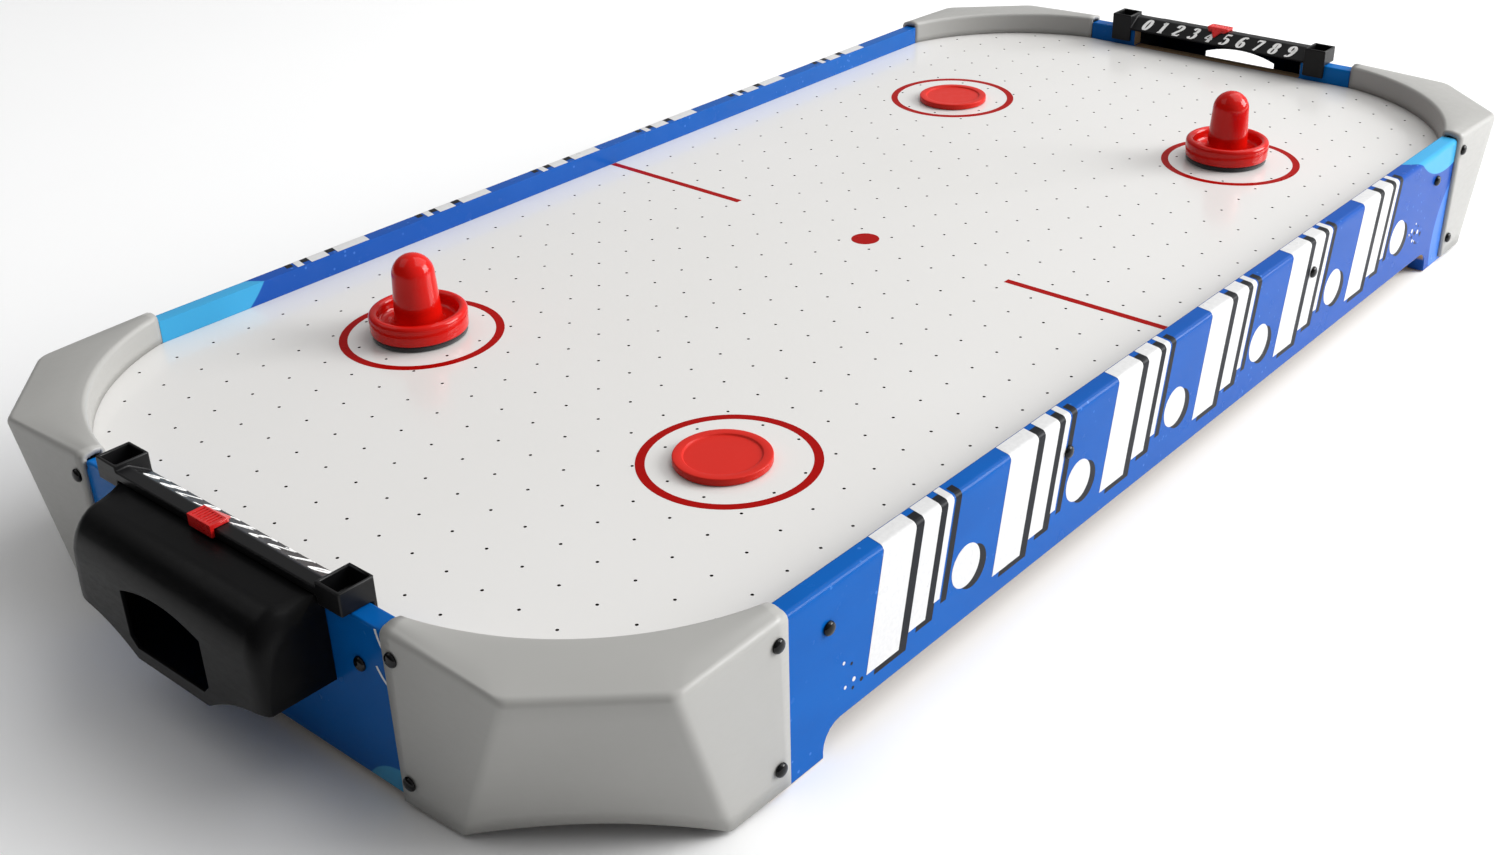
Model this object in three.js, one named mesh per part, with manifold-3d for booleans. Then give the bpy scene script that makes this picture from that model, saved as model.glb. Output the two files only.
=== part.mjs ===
// Tabletop air hockey table, 40 by 20 inches across its aprons, with its score bars,
// goal boxes, pushers, pucks and under-table blower. Millimetres, +Z up.
// The origin is on the ground under the middle of the playfield, and +X runs along
// the table's length. "left" is the -X end, "right" the +X end, "front" the -Y side.
import * as THREE from 'three';
import { mergeVertices } from 'three/addons/utils/BufferGeometryUtils.js';
import Module from 'manifold-3d';

const wasm = await Module();
wasm.setup();

// ---- driving dimensions ---------------------------------------------------------------
const GAP = 0.3;                 // between pieces that touch
const PLAY_Z = 83;               // playing surface above the ground
const FIELD = { x: 495, y: 240 };            // half size between the apron faces
const APRON_T = 12;              // fibreboard thickness
const APRON_TOP = PLAY_Z + 14;
const BOARD_T = 6;               // playfield board
const PLENUM = 24;               // height of the battens, so of the air chamber
const BASE_T = 3;                // hardboard under the air chamber

const ARCH_HALF = 350;           // the long apron is raised between its feet
const ARCH_RISE = 17;
const FOOT_X = 361;
const END_LIFT = 4;              // end apron above the ground

const CORNER = {
  x: 509.2, y: 254.2,            // outer planes, at the aprons
  lowX: 507, lowY: 252.8,        // and at the foot of the sloped face
  seamX: 388, seamY: 122,        // where its edges cross the aprons
  arcX: 383, arcY: 128, arcR: 112,   // wall that the puck rides round
  chamTopX: 461, chamTopY: 201,      // ends of the sloped corner face, at the top
  chamLowX: 429, chamLowY: 160,      // and at its foot
  innerTop: PLAY_Z + 18, outerTop: PLAY_Z + 15,
  wall: 1.9, cap: 3,
  lift: 2, seamLift: 3,          // above the ground
  archHalf: 50, archRise: 8,     // hollowed lower edge of the sloped face
};
const TONGUE_IN = 3;             // relief on an apron's end, inside the corner piece
const TONGUE_TOP = PLAY_Z + 9;
const LONG_TONGUE_X = 402;
const END_TONGUE_Y = 136;

const GOAL = {
  mouth: 78,                     // half width of the goal mouth
  half: 80,                      // half width of the goal box
  front: 546.3, top: PLAY_Z + 18.5, low: PLAY_Z - 31,
  lip: PLAY_Z - 47.5, lipHalf: 30,  // underside of the tray that catches the puck
  roundX: 19, roundZ: 24,        // rounded edge from the top to the front
  wall: 2,
  openHalf: 33, openLow: PLAY_Z - 40, openSide: PLAY_Z - 8.5, openTop: PLAY_Z - 2.5,
  openRound: 5,
};

const BAR = {
  inner: 492, outer: 511.8, half: 99.5, pocket: 18,
  rim: PLAY_Z + 27, ledge: PLAY_Z + 24, ledgeIn: 504.4, stripLow: PLAY_Z + 15.6,
  soffit: PLAY_Z + 14.3, wall: 1.8, legLow: PLAY_Z + 4,
};
const SLIDER = {
  halfY: 9.5, thick: 2.4, hook: 2.2, drop: 4,   // drop is the front wall that hooks over the ledge
  reach: 7, pointHalf: 4.5,                     // pointer
  groovePitch: 2.3, grooveDepth: 0.6,
};
const SLIDER_Y = { left: 5, right: 4 };

const PUSHER = { r: 30, rim: 17, trough: 24, floor: 8, knobLow: 14.5, knob: 13.1, top: 52 };
const FELT_T = 3;
const PUSHER_AT = { left: [-281, 126.5], right: [283.5, -120] };
const PUCK = { r: 27, t: 4.6, recessR: 21.7, recess: 1 };
const PUCK_AT = { left: [-284, -123], right: [276, 121] };

const SCREW = { r: 3.9, height: 2.6, fromSeam: 7.5, fromEndSeam: 6.5, top: PLAY_Z + 4, low: PLAY_Z - 66 };
const APRON_SCREWS = [-357, -150, 150, 357];
const APRON_SCREW_Z = PLAY_Z - 9;

const FAN = { side: 110, bore: 46, t: 25, hub: 20, blades: 7, bladeR: 44 };
const SWITCH_X = 250;
const INLET_X = 292;
const POWER_Z = 38;

// ---- materials --------------------------------------------------------------------------
function finish(color, roughness, metalness = 0) {
  return new THREE.MeshStandardMaterial({ color, roughness, metalness });
}
const LOOK = {
  field: finish(0xe6e4e2, 0.35),
  apron: finish(0x2468cc, 0.35),
  corner: finish(0xc6c4be, 0.55),
  black: finish(0x16161a, 0.45),
  red: finish(0xc4161c, 0.22),
  felt: finish(0x101012, 0.95),
  board: finish(0xb08d62, 0.8),
  hardboard: finish(0x7d5a3a, 0.75),
  screw: finish(0x121214, 0.25),
  lead: finish(0x1a1a1c, 0.5),
  metal: finish(0xa9abae, 0.35, 0.9),
};

const table = new THREE.Group();
table.name = 'air_hockey_table';

// ---- small geometry tools -----------------------------------------------------------------
function place(name, geometry, material, position = [0, 0, 0], rotation = [0, 0, 0]) {
  const mesh = new THREE.Mesh(geometry, material);
  mesh.name = name;
  mesh.position.set(...position);
  mesh.rotation.set(...rotation);
  table.add(mesh);
  return mesh;
}

function solid(geometry) {
  const bare = geometry.index ? geometry.clone() : geometry;
  bare.deleteAttribute('normal');
  bare.deleteAttribute('uv');
  const merged = mergeVertices(bare, 1e-4);
  return new wasm.Manifold(new wasm.Mesh({
    numProp: 3,
    vertProperties: new Float32Array(merged.attributes.position.array),
    triVerts: new Uint32Array(merged.index.array),
  }));
}

function geometryOf(manifold) {
  const mesh = manifold.getMesh();
  const geometry = new THREE.BufferGeometry();
  geometry.setAttribute('position', new THREE.BufferAttribute(new Float32Array(mesh.vertProperties), 3));
  geometry.setIndex(new THREE.BufferAttribute(new Uint32Array(mesh.triVerts), 1));
  geometry.computeVertexNormals();
  return geometry;
}

function block(x0, x1, y0, y1, z0, z1) {
  const geometry = new THREE.BoxGeometry(x1 - x0, y1 - y0, z1 - z0);
  return geometry.translate((x0 + x1) / 2, (y0 + y1) / 2, (z0 + z1) / 2);
}

function outline(points) {
  const shape = new THREE.Shape();
  shape.moveTo(...points[0]);
  for (const point of points.slice(1)) shape.lineTo(...point);
  shape.closePath();
  return shape;
}

function extrude(shape, depth, curveSegments = 12) {
  return new THREE.ExtrudeGeometry(shape, { depth, bevelEnabled: false, curveSegments });
}

// The shape's own x and y become the object's x and y, from z0 up to z1.
function prismZ(shape, z0, z1) {
  return extrude(shape, z1 - z0).translate(0, 0, z0);
}

// The shape's x and y become the object's x and z, from y0 to y1.
function prismY(shape, y0, y1) {
  return extrude(shape, y1 - y0).rotateX(Math.PI / 2).translate(0, y1, 0);
}

// The shape's x and y become the object's y and z, from x0 to x1.
function prismX(shape, x0, x1) {
  const turn = new THREE.Matrix4().makeBasis(
    new THREE.Vector3(0, 1, 0), new THREE.Vector3(0, 0, 1), new THREE.Vector3(1, 0, 0));
  return extrude(shape, x1 - x0).applyMatrix4(turn).translate(x0, 0, 0);
}

function lathe(profile, segments) {
  const points = profile.map(([r, z]) => new THREE.Vector2(r, z));
  return new THREE.LatheGeometry(points, segments).rotateX(Math.PI / 2);
}

function arc(cx, cy, rx, ry, from, to, steps) {
  const points = [];
  for (let i = 0; i <= steps; i += 1) {
    const angle = THREE.MathUtils.degToRad(from + ((to - from) * i) / steps);
    points.push([cx + rx * Math.cos(angle), cy + ry * Math.sin(angle)]);
  }
  return points;
}

// A closed body between two outlines with the same number of points, each point [x, y, z].
function loft(low, high) {
  const count = low.length;
  const flat = low.map(([x, y]) => new THREE.Vector2(x, y));
  const caps = THREE.ShapeUtils.triangulateShape(flat, []);
  const index = [];
  for (const [a, b, c] of caps) {
    index.push(a, c, b);
    index.push(a + count, b + count, c + count);
  }
  for (let i = 0; i < count; i += 1) {
    const j = (i + 1) % count;
    index.push(i, j, j + count);
    index.push(i, j + count, i + count);
  }
  const geometry = new THREE.BufferGeometry();
  geometry.setAttribute('position', new THREE.Float32BufferAttribute([...low, ...high].flat(), 3));
  geometry.setIndex(index);
  return geometry;
}

// The same geometry on the other side of x = 0 and/or y = 0, with its faces still outwards.
function reflected(geometry, sx, sy) {
  const copy = geometry.clone().scale(sx, sy, 1);
  if (sx * sy > 0) return copy;
  const index = copy.index.array;
  for (let i = 0; i < index.length; i += 3) {
    const keep = index[i + 1];
    index[i + 1] = index[i + 2];
    index[i + 2] = keep;
  }
  copy.computeVertexNormals();
  return copy;
}

const ENDS = [['left', -1], ['right', 1]];
const SIDES = [['front', -1], ['back', 1]];

// ---- playfield, air chamber and blower -----------------------------------------------------
function playfieldOutline(inset) {
  const x = FIELD.x - inset;
  const y = FIELD.y - inset;
  const cutX = 47;
  const cutY = 52;
  return outline([
    [x, cutY - y], [x, y - cutY], [x - cutX, y], [cutX - x, y],
    [-x, y - cutY], [-x, cutY - y], [cutX - x, -y], [x - cutX, -y],
  ]);
}

function addPlayfield() {
  place('playfield', prismZ(playfieldOutline(GAP), PLAY_Z - BOARD_T, PLAY_Z), LOOK.field);
}

const BATTEN_TOP = PLAY_Z - BOARD_T - GAP;
const BATTEN_LOW = BATTEN_TOP - PLENUM;
const BASE_TOP = BATTEN_LOW - GAP;
const BASE_LOW = BASE_TOP - BASE_T;

function addBattens() {
  const width = 20;
  const longHalf = 440;
  const endHalf = 182;
  for (const [side, sy] of SIDES) {
    const y = sy * (FIELD.y - GAP - width / 2);
    const bar = block(-longHalf, longHalf, y - width / 2, y + width / 2, BATTEN_LOW, BATTEN_TOP);
    place(`batten_${side}`, bar, LOOK.board);
  }
  for (const [end, sx] of ENDS) {
    const x = sx * (FIELD.x - GAP - width / 2);
    const bar = block(x - width / 2, x + width / 2, -endHalf, endHalf, BATTEN_LOW, BATTEN_TOP);
    place(`batten_${end}`, bar, LOOK.board);
    const crossX = sx * 190;
    const cross = block(crossX - 9, crossX + 9, -150, 150, BATTEN_LOW, BATTEN_TOP);
    place(`cross_batten_${end}`, cross, LOOK.board);
  }
}

function addBasePanel() {
  const hole = new THREE.Path().absarc(0, 0, FAN.bore, 0, Math.PI * 2, true);
  const inset = 5;
  const shape = playfieldOutline(inset);
  shape.holes.push(hole);
  place('base_panel', extrude(shape, BASE_T, 20).translate(0, 0, BASE_LOW), LOOK.hardboard);
}

const FAN_TOP = BASE_LOW - GAP;
const FAN_LOW = FAN_TOP - FAN.t;

function addFan() {
  const half = FAN.side / 2;
  const strut = 5;
  const strutT = 3;
  const square = outline([[-half, -half], [half, -half], [half, half], [-half, half]]);
  square.holes.push(new THREE.Path().absarc(0, 0, FAN.bore, 0, Math.PI * 2, true));
  let housing = solid(extrude(square, FAN.t, 20).translate(0, 0, FAN_LOW));
  const seat = new THREE.CylinderGeometry(FAN.hub, FAN.hub, strutT, 32).rotateX(Math.PI / 2);
  housing = housing.add(solid(seat.translate(0, 0, FAN_LOW + strutT / 2)));
  for (let i = 0; i < 4; i += 1) {
    const arm = block(FAN.hub - 2, FAN.bore + 2, -strut / 2, strut / 2, FAN_LOW, FAN_LOW + strutT);
    housing = housing.add(solid(arm.rotateZ(Math.PI / 4 + (i * Math.PI) / 2)));
  }
  place('fan_housing', geometryOf(housing), LOOK.black);

  const seatTop = FAN_LOW + strutT + GAP;
  const shaftR = 1.5;
  const boreR = 1.56;
  const motorR = 16;
  const motorTop = seatTop + 14;
  const motor = lathe([
    [boreR, seatTop + 2], [motorR, seatTop + 2], [motorR, motorTop], [boreR, motorTop], [boreR, seatTop + 2],
  ], 32);
  const plateTop = seatTop + 2.2;
  const plate = lathe([[0, seatTop], [motorR, seatTop], [motorR, plateTop], [0, plateTop], [0, seatTop]], 32);
  place('fan_motor', geometryOf(solid(motor).add(solid(plate))), LOOK.metal);

  const hubTop = FAN_TOP - 2;
  const cup = solid(lathe([
    [0, seatTop + 4], [shaftR, seatTop + 4], [shaftR, motorTop + 1], [motorR + 1, motorTop + 1],
    [motorR + 1, seatTop + 2], [FAN.hub - 1, seatTop + 2], [FAN.hub - 1, hubTop - 1],
    [FAN.hub - 2, hubTop], [0, hubTop], [0, seatTop + 4],
  ], 32));
  let impeller = cup;
  const bladeLow = seatTop + 2;
  const tilt = THREE.MathUtils.degToRad(38);
  for (let i = 0; i < FAN.blades; i += 1) {
    const blade = block(FAN.hub - 2.5, FAN.bladeR, -12, 12, -0.8, 0.8);
    blade.rotateX(tilt).translate(0, 0, (bladeLow + hubTop) / 2);
    impeller = impeller.add(solid(blade.rotateZ((i * 2 * Math.PI) / FAN.blades)));
  }
  place('impeller', geometryOf(impeller), LOOK.black);

  let grille = ring(FAN.bore + 3, FAN.bore - 1, 1.8);
  for (const radius of [36, 25, 14]) grille = grille.add(ring(radius + 1, radius - 1, 1.8));
  for (let i = 0; i < 4; i += 1) {
    const spoke = block(-FAN.bore, FAN.bore, -1.2, 1.2, 0, 1.8);
    grille = grille.add(solid(spoke.rotateZ((i * Math.PI) / 4)));
  }
  const grilleZ = FAN_LOW - GAP - 1.8;
  place('fan_grille', geometryOf(grille), LOOK.black, [0, 0, grilleZ]);
}

function ring(outer, inner, height) {
  return solid(lathe([[inner, 0], [outer, 0], [outer, height], [inner, height], [inner, 0]], 24));
}

// ---- aprons ---------------------------------------------------------------------------------
function longApron() {
  const notchR = FOOT_X - ARCH_HALF + 2;
  const notch = arc(FOOT_X - notchR, ARCH_RISE - notchR, notchR, notchR, 90, 0, 5);
  const half = [...notch, [FOOT_X, 0], [LONG_TONGUE_X, 0]];
  const right = [...half, [LONG_TONGUE_X, APRON_TOP]];
  const left = right.map(([x, z]) => [-x, z]).reverse();
  let body = solid(prismY(outline([...left, ...right]), FIELD.y, FIELD.y + APRON_T));
  for (const sx of [-1, 1]) {
    const x0 = Math.min(sx * (CORNER.seamX - GAP), sx * (LONG_TONGUE_X + 5));
    const x1 = Math.max(sx * (CORNER.seamX - GAP), sx * (LONG_TONGUE_X + 5));
    body = body.subtract(solid(block(x0, x1, FIELD.y - 1, FIELD.y + TONGUE_IN, PLAY_Z - 1, APRON_TOP + 1)));
    body = body.subtract(solid(block(x0, x1, FIELD.y - 1, FIELD.y + APRON_T + 1, TONGUE_TOP, APRON_TOP + 1)));
  }
  const r = 3;
  const edge = outline([
    [FIELD.y + APRON_T + 1, APRON_TOP + 1], [FIELD.y + APRON_T - r, APRON_TOP + 1],
    ...arc(FIELD.y + APRON_T - r, APRON_TOP - r, r, r, 90, 0, 5),
    [FIELD.y + APRON_T + 1, APRON_TOP - r],
  ]);
  return body.subtract(solid(prismX(edge, -ARCH_HALF - 90, ARCH_HALF + 90)));
}

function endApron() {
  const x0 = FIELD.x;
  const x1 = FIELD.x + APRON_T;
  let body = solid(block(x0, x1, -END_TONGUE_Y, END_TONGUE_Y, END_LIFT, APRON_TOP));
  body = body.subtract(solid(block(x0 - 1, x1 + 1, -GOAL.mouth, GOAL.mouth, PLAY_Z, APRON_TOP + 1)));
  for (const sy of [-1, 1]) {
    const y0 = Math.min(sy * (CORNER.seamY - GAP), sy * (END_TONGUE_Y + 5));
    const y1 = Math.max(sy * (CORNER.seamY - GAP), sy * (END_TONGUE_Y + 5));
    body = body.subtract(solid(block(x0 - 1, x0 + TONGUE_IN, y0, y1, PLAY_Z - 1, APRON_TOP + 1)));
    body = body.subtract(solid(block(x0 - 1, x1 + 1, y0, y1, TONGUE_TOP, APRON_TOP + 1)));
  }
  return body;
}

function powerCutouts(body) {
  const depth = [FIELD.y - 1, FIELD.y + APRON_T + 1];
  const slot = block(SWITCH_X - 9.5, SWITCH_X + 9.5, ...depth, POWER_Z - 6.5, POWER_Z + 6.5);
  const bore = new THREE.CylinderGeometry(5.5, 5.5, APRON_T + 2, 24);
  return body.subtract(solid(slot)).subtract(solid(bore.translate(INLET_X, FIELD.y + APRON_T / 2, POWER_Z)));
}

function addAprons() {
  const long = longApron();
  place('apron_back', geometryOf(powerCutouts(long)), LOOK.apron);
  place('apron_front', reflected(geometryOf(long), 1, -1), LOOK.apron);
  const end = geometryOf(endApron());
  for (const [name, sx] of ENDS) place(`apron_${name}`, reflected(end, sx, 1), LOOK.apron);
}

// ---- corner pieces ----------------------------------------------------------------------------
// Where the sloped face meets the two outer walls, at height z.
function slopeAt(z) {
  const share = z / CORNER.outerTop;
  const mix = (low, high) => low + (high - low) * share;
  return {
    endX: mix(CORNER.lowX, CORNER.x), endY: mix(CORNER.chamLowY, CORNER.chamTopY),
    sideX: mix(CORNER.chamLowX, CORNER.chamTopX), sideY: mix(CORNER.lowY, CORNER.y),
  };
}

function cornerOutline(inset, z) {
  const { x, y, seamX, seamY, arcX, arcY, arcR } = CORNER;
  const { endX, endY, sideX, sideY } = slopeAt(z);
  const over = inset > 0 ? 5 : 0;
  const slide = inset * 0.45;
  const radius = arcR + inset;
  return [
    [x - inset, seamY - over], [endX - inset, endY - slide], [sideX - slide, sideY - inset],
    [seamX - over, y - inset], [seamX - over, arcY + radius],
    ...arc(arcX, arcY, radius, radius, 84, 0, 15), [arcX + radius, seamY - over],
  ];
}

// Everything on the inner side of the shell's outer walls, below the playing surface.
function cornerUnderside() {
  const { x, y, seamX, seamY, wall } = CORNER;
  const deep = 60;
  const slide = wall * 0.45;
  const ringAt = (z) => {
    const { endX, endY, sideX, sideY } = slopeAt(z);
    return [
      [x - wall, seamY - deep, z], [endX - wall, endY - slide, z], [sideX - slide, sideY - wall, z],
      [seamX - deep, y - wall, z], [seamX - deep, seamY - deep, z],
    ];
  };
  return loft(ringAt(-5), ringAt(PLAY_Z + GAP));
}

function cornerShell() {
  const { seamX, seamY, wall, cap, lift, seamLift, innerTop, outerTop } = CORNER;
  const lowZ = [seamLift, lift, lift, seamLift];
  const highZ = [innerTop, outerTop, outerTop, innerTop - 0.5];
  const low = cornerOutline(0, 0).map(([x, y], i) => [x, y, i < 4 ? lowZ[i] : seamLift]);
  const high = cornerOutline(0, outerTop).map(([x, y], i) => [x, y, i < 4 ? highZ[i] : innerTop]);
  let body = solid(loft(low, high));

  const start = PLAY_Z - 5;
  const hollowLow = cornerOutline(wall, start).map(([x, y]) => [x, y, start]);
  const hollowHigh = cornerOutline(wall, outerTop)
    .map(([x, y], i) => [x, y, (i < 4 ? highZ[i] : innerTop) - cap]);
  body = body.subtract(solid(loft(hollowLow, hollowHigh)));
  body = body.subtract(solid(cornerUnderside()));

  const faceX = FIELD.x + APRON_T + GAP;
  const faceY = FIELD.y + APRON_T + GAP;
  const tongueTop = TONGUE_TOP + GAP;
  const longTongue = block(seamX - 5, LONG_TONGUE_X + 1, FIELD.y + TONGUE_IN - GAP, faceY, -5, tongueTop);
  const endTongue = block(FIELD.x + TONGUE_IN - GAP, faceX, seamY - 5, END_TONGUE_Y + 1, -5, tongueTop);
  body = body.subtract(solid(longTongue)).subtract(solid(endTongue));

  const alongX = CORNER.lowX - CORNER.chamLowX;
  const alongY = CORNER.lowY - CORNER.chamLowY;
  const arch = new THREE.CylinderGeometry(1, 1, 60, 32).scale(CORNER.archHalf, 1, CORNER.archRise);
  arch.rotateZ(-Math.atan2(alongY, alongX));
  arch.translate(CORNER.chamLowX + alongX / 2, CORNER.chamLowY + alongY / 2, lift - 0.5);
  return body.subtract(solid(arch));
}

function addCorners() {
  const shell = geometryOf(cornerShell());
  for (const [end, sx] of ENDS) {
    for (const [side, sy] of SIDES) place(`corner_${end}_${side}`, reflected(shell, sx, sy), LOOK.corner);
  }
}

// ---- goal boxes --------------------------------------------------------------------------------
function boxProfile(inset, back, bottom) {
  const { front, top, roundX, roundZ } = GOAL;
  const edge = arc(front - roundX, top - roundZ, roundX - inset, roundZ - inset, 90, 0, 8);
  return outline([[back, top - inset], ...edge, [front - inset, bottom], [back, bottom]]);
}

// Front outline below the box's top: straight sides, then a belly that drops to the tray's lip.
function goalFront(inset) {
  const { half, low, lip, lipHalf, top } = GOAL;
  const side = half - inset;
  const steps = 8;
  const belly = [];
  for (let i = 0; i <= steps; i += 1) {
    const t = i / steps;
    belly.push([side + (lipHalf - side) * t, low + inset + (lip - low) * t * t]);
  }
  const mirrored = belly.map(([y, z]) => [-y, z]);
  return outline([[-side, top + 1], ...mirrored, ...[...belly].reverse(), [side, top + 1]]);
}

function goalOpening() {
  const { openHalf, openLow, openSide, openTop, openRound } = GOAL;
  const rise = openTop - openSide;
  const radius = (openHalf ** 2 + rise ** 2) / (2 * rise);
  const lean = THREE.MathUtils.radToDeg(Math.asin(openHalf / radius));
  return outline([
    [-openHalf, openLow + openRound], [-openHalf + openRound, openLow],
    [openHalf - openRound, openLow], [openHalf, openLow + openRound],
    ...arc(0, openTop - radius, radius, radius, 90 - lean, 90 + lean, 12),
  ]);
}

// A moulded box with an open back: the puck drops onto its tray and comes out by the front opening.
function goalBox() {
  const { front, lip, half, wall } = GOAL;
  const back = FIELD.x + APRON_T + GAP;
  const outside = solid(prismY(boxProfile(0, back, lip - 1), -half - 1, half + 1));
  const inside = solid(prismY(boxProfile(wall, back - 5, lip - 1), -half - 1, half + 1));
  const shell = outside.intersect(solid(prismX(goalFront(0), back - 1, front + 1)));
  const hollow = inside.intersect(solid(prismX(goalFront(wall), back - 6, front + 1)));
  const opening = solid(prismX(goalOpening(), front - wall - 4, front + 1));
  return shell.subtract(hollow).subtract(opening);
}

function addGoalBoxes() {
  const box = geometryOf(goalBox());
  for (const [end, sx] of ENDS) place(`goal_box_${end}`, reflected(box, sx, 1), LOOK.black);
}

// ---- score bars ---------------------------------------------------------------------------------
function scoreFrame() {
  const { inner, outer, half, pocket, rim, ledge, ledgeIn, stripLow, soffit, wall, legLow } = BAR;
  const apronTop = APRON_TOP + GAP;
  const legOut = FIELD.x - GAP;
  const boxTop = GOAL.top + GAP;
  const skin = outline([
    [inner, soffit], [legOut, soffit], [ledgeIn, ledge - wall],
    [outer - wall, ledge - wall], [outer - wall, boxTop], [outer, boxTop],
    [outer, ledge], [ledgeIn, ledge], [inner, stripLow],
  ]);
  const barHalf = half - pocket + wall / 2;
  let body = solid(prismY(skin, -barHalf, barHalf));
  for (const sy of [-1, 1]) {
    const y0 = Math.min(sy * half, sy * (half - pocket));
    const y1 = y0 + pocket;
    const cup = solid(block(inner, outer, y0, y1, apronTop, rim));
    const hollow = solid(block(inner + wall, outer - wall, y0 + wall, y1 - wall, apronTop + wall, rim + 1));
    const leg = solid(block(inner, legOut, y0, y1, legLow, apronTop + 1));
    body = body.add(cup.subtract(hollow)).add(leg);
  }
  return body;
}

// Centred on y = 0 and read towards the playfield, so its pointer faces -X and leans down the strip.
function scoreSlider() {
  const { inner, outer, ledge, ledgeIn, stripLow } = BAR;
  const { halfY, thick, hook, drop, reach, pointHalf, groovePitch, grooveDepth } = SLIDER;
  const slope = (ledge - stripLow) / (ledgeIn - inner);
  const front = outer + hook;
  const tip = ledgeIn - reach;
  const under = ledge + GAP;
  const tipUnder = under - reach * slope;
  const profile = outline([
    [front, ledge - drop], [front, under + thick], [ledgeIn, under + thick],
    [tip, tipUnder + thick / 2], [tip, tipUnder], [ledgeIn, under],
    [outer + GAP, under], [outer + GAP, ledge - drop],
  ]);
  const plate = outline([
    [front + 1, -halfY], [front + 1, halfY], [ledgeIn, halfY], [ledgeIn - 2, halfY - 2],
    [ledgeIn - 2, pointHalf], [tip, 0.6], [tip, -0.6], [ledgeIn - 2, -pointHalf],
    [ledgeIn - 2, 2 - halfY], [ledgeIn, -halfY],
  ]);
  let body = solid(prismY(profile, -halfY - 1, halfY + 1));
  body = body.intersect(solid(prismZ(plate, stripLow, under + thick + 1)));
  const hookWall = block(outer + GAP, front, -halfY, halfY, ledge - drop, under + thick);
  body = body.add(solid(hookWall));
  const top = under + thick;
  for (let i = -3; i <= 3; i += 1) {
    const y = i * groovePitch;
    const groove = block(ledgeIn + 1, outer + 1, y - 0.5, y + 0.5, top - grooveDepth, top + 1);
    body = body.subtract(solid(groove));
  }
  return body;
}

function addScoreBars() {
  const frame = geometryOf(scoreFrame());
  const slider = geometryOf(scoreSlider());
  for (const [end, sx] of ENDS) {
    place(`score_frame_${end}`, reflected(frame, sx, 1), LOOK.black);
    place(`score_slider_${end}`, reflected(slider, sx, 1), LOOK.red, [0, SLIDER_Y[end], 0]);
  }
}

// ---- pushers and pucks --------------------------------------------------------------------------
function pusherProfile() {
  const { r, rim, trough, floor, knobLow, knob, top } = PUSHER;
  const low = FELT_T + 2 * GAP;
  const rimR = (r - trough) / 2;
  const domeZ = top - knob;
  return [
    [0, low], [r - 1.5, low], [r - 0.4, low + 1.5], [r, rim - rimR],
    ...arc(r - rimR, rim - rimR, rimR, rimR, 20, 160, 5), [trough, rim - rimR],
    [trough, floor + 2], [trough - 2, floor], [knobLow + 3, floor], [knobLow, floor + 3],
    ...arc(0, domeZ, knob, knob, 0, 90, 7).slice(0, -1), [0, top], [0, low],
  ];
}

function addGamePieces() {
  const pusher = lathe(pusherProfile(), 28);
  const feltR = PUSHER.r - 1;
  const feltTop = GAP + FELT_T;
  const felt = lathe([[0, GAP], [feltR, GAP], [feltR, feltTop], [0, feltTop], [0, GAP]], 28);
  const { r, t, recessR, recess } = PUCK;
  const puck = lathe([
    [0, GAP + recess], [recessR - 1, GAP + recess], [recessR, GAP], [r - 0.6, GAP], [r, GAP + 0.6],
    [r, t - 0.6], [r - 0.6, t], [recessR, t], [recessR - 1, t - recess], [0, t - recess], [0, GAP + recess],
  ], 28);
  for (const [end] of ENDS) {
    place(`pusher_${end}`, pusher, LOOK.red, [...PUSHER_AT[end], PLAY_Z]);
    place(`pusher_felt_${end}`, felt, LOOK.felt, [...PUSHER_AT[end], PLAY_Z]);
    place(`puck_${end}`, puck, LOOK.red, [...PUCK_AT[end], PLAY_Z]);
  }
}

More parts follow.
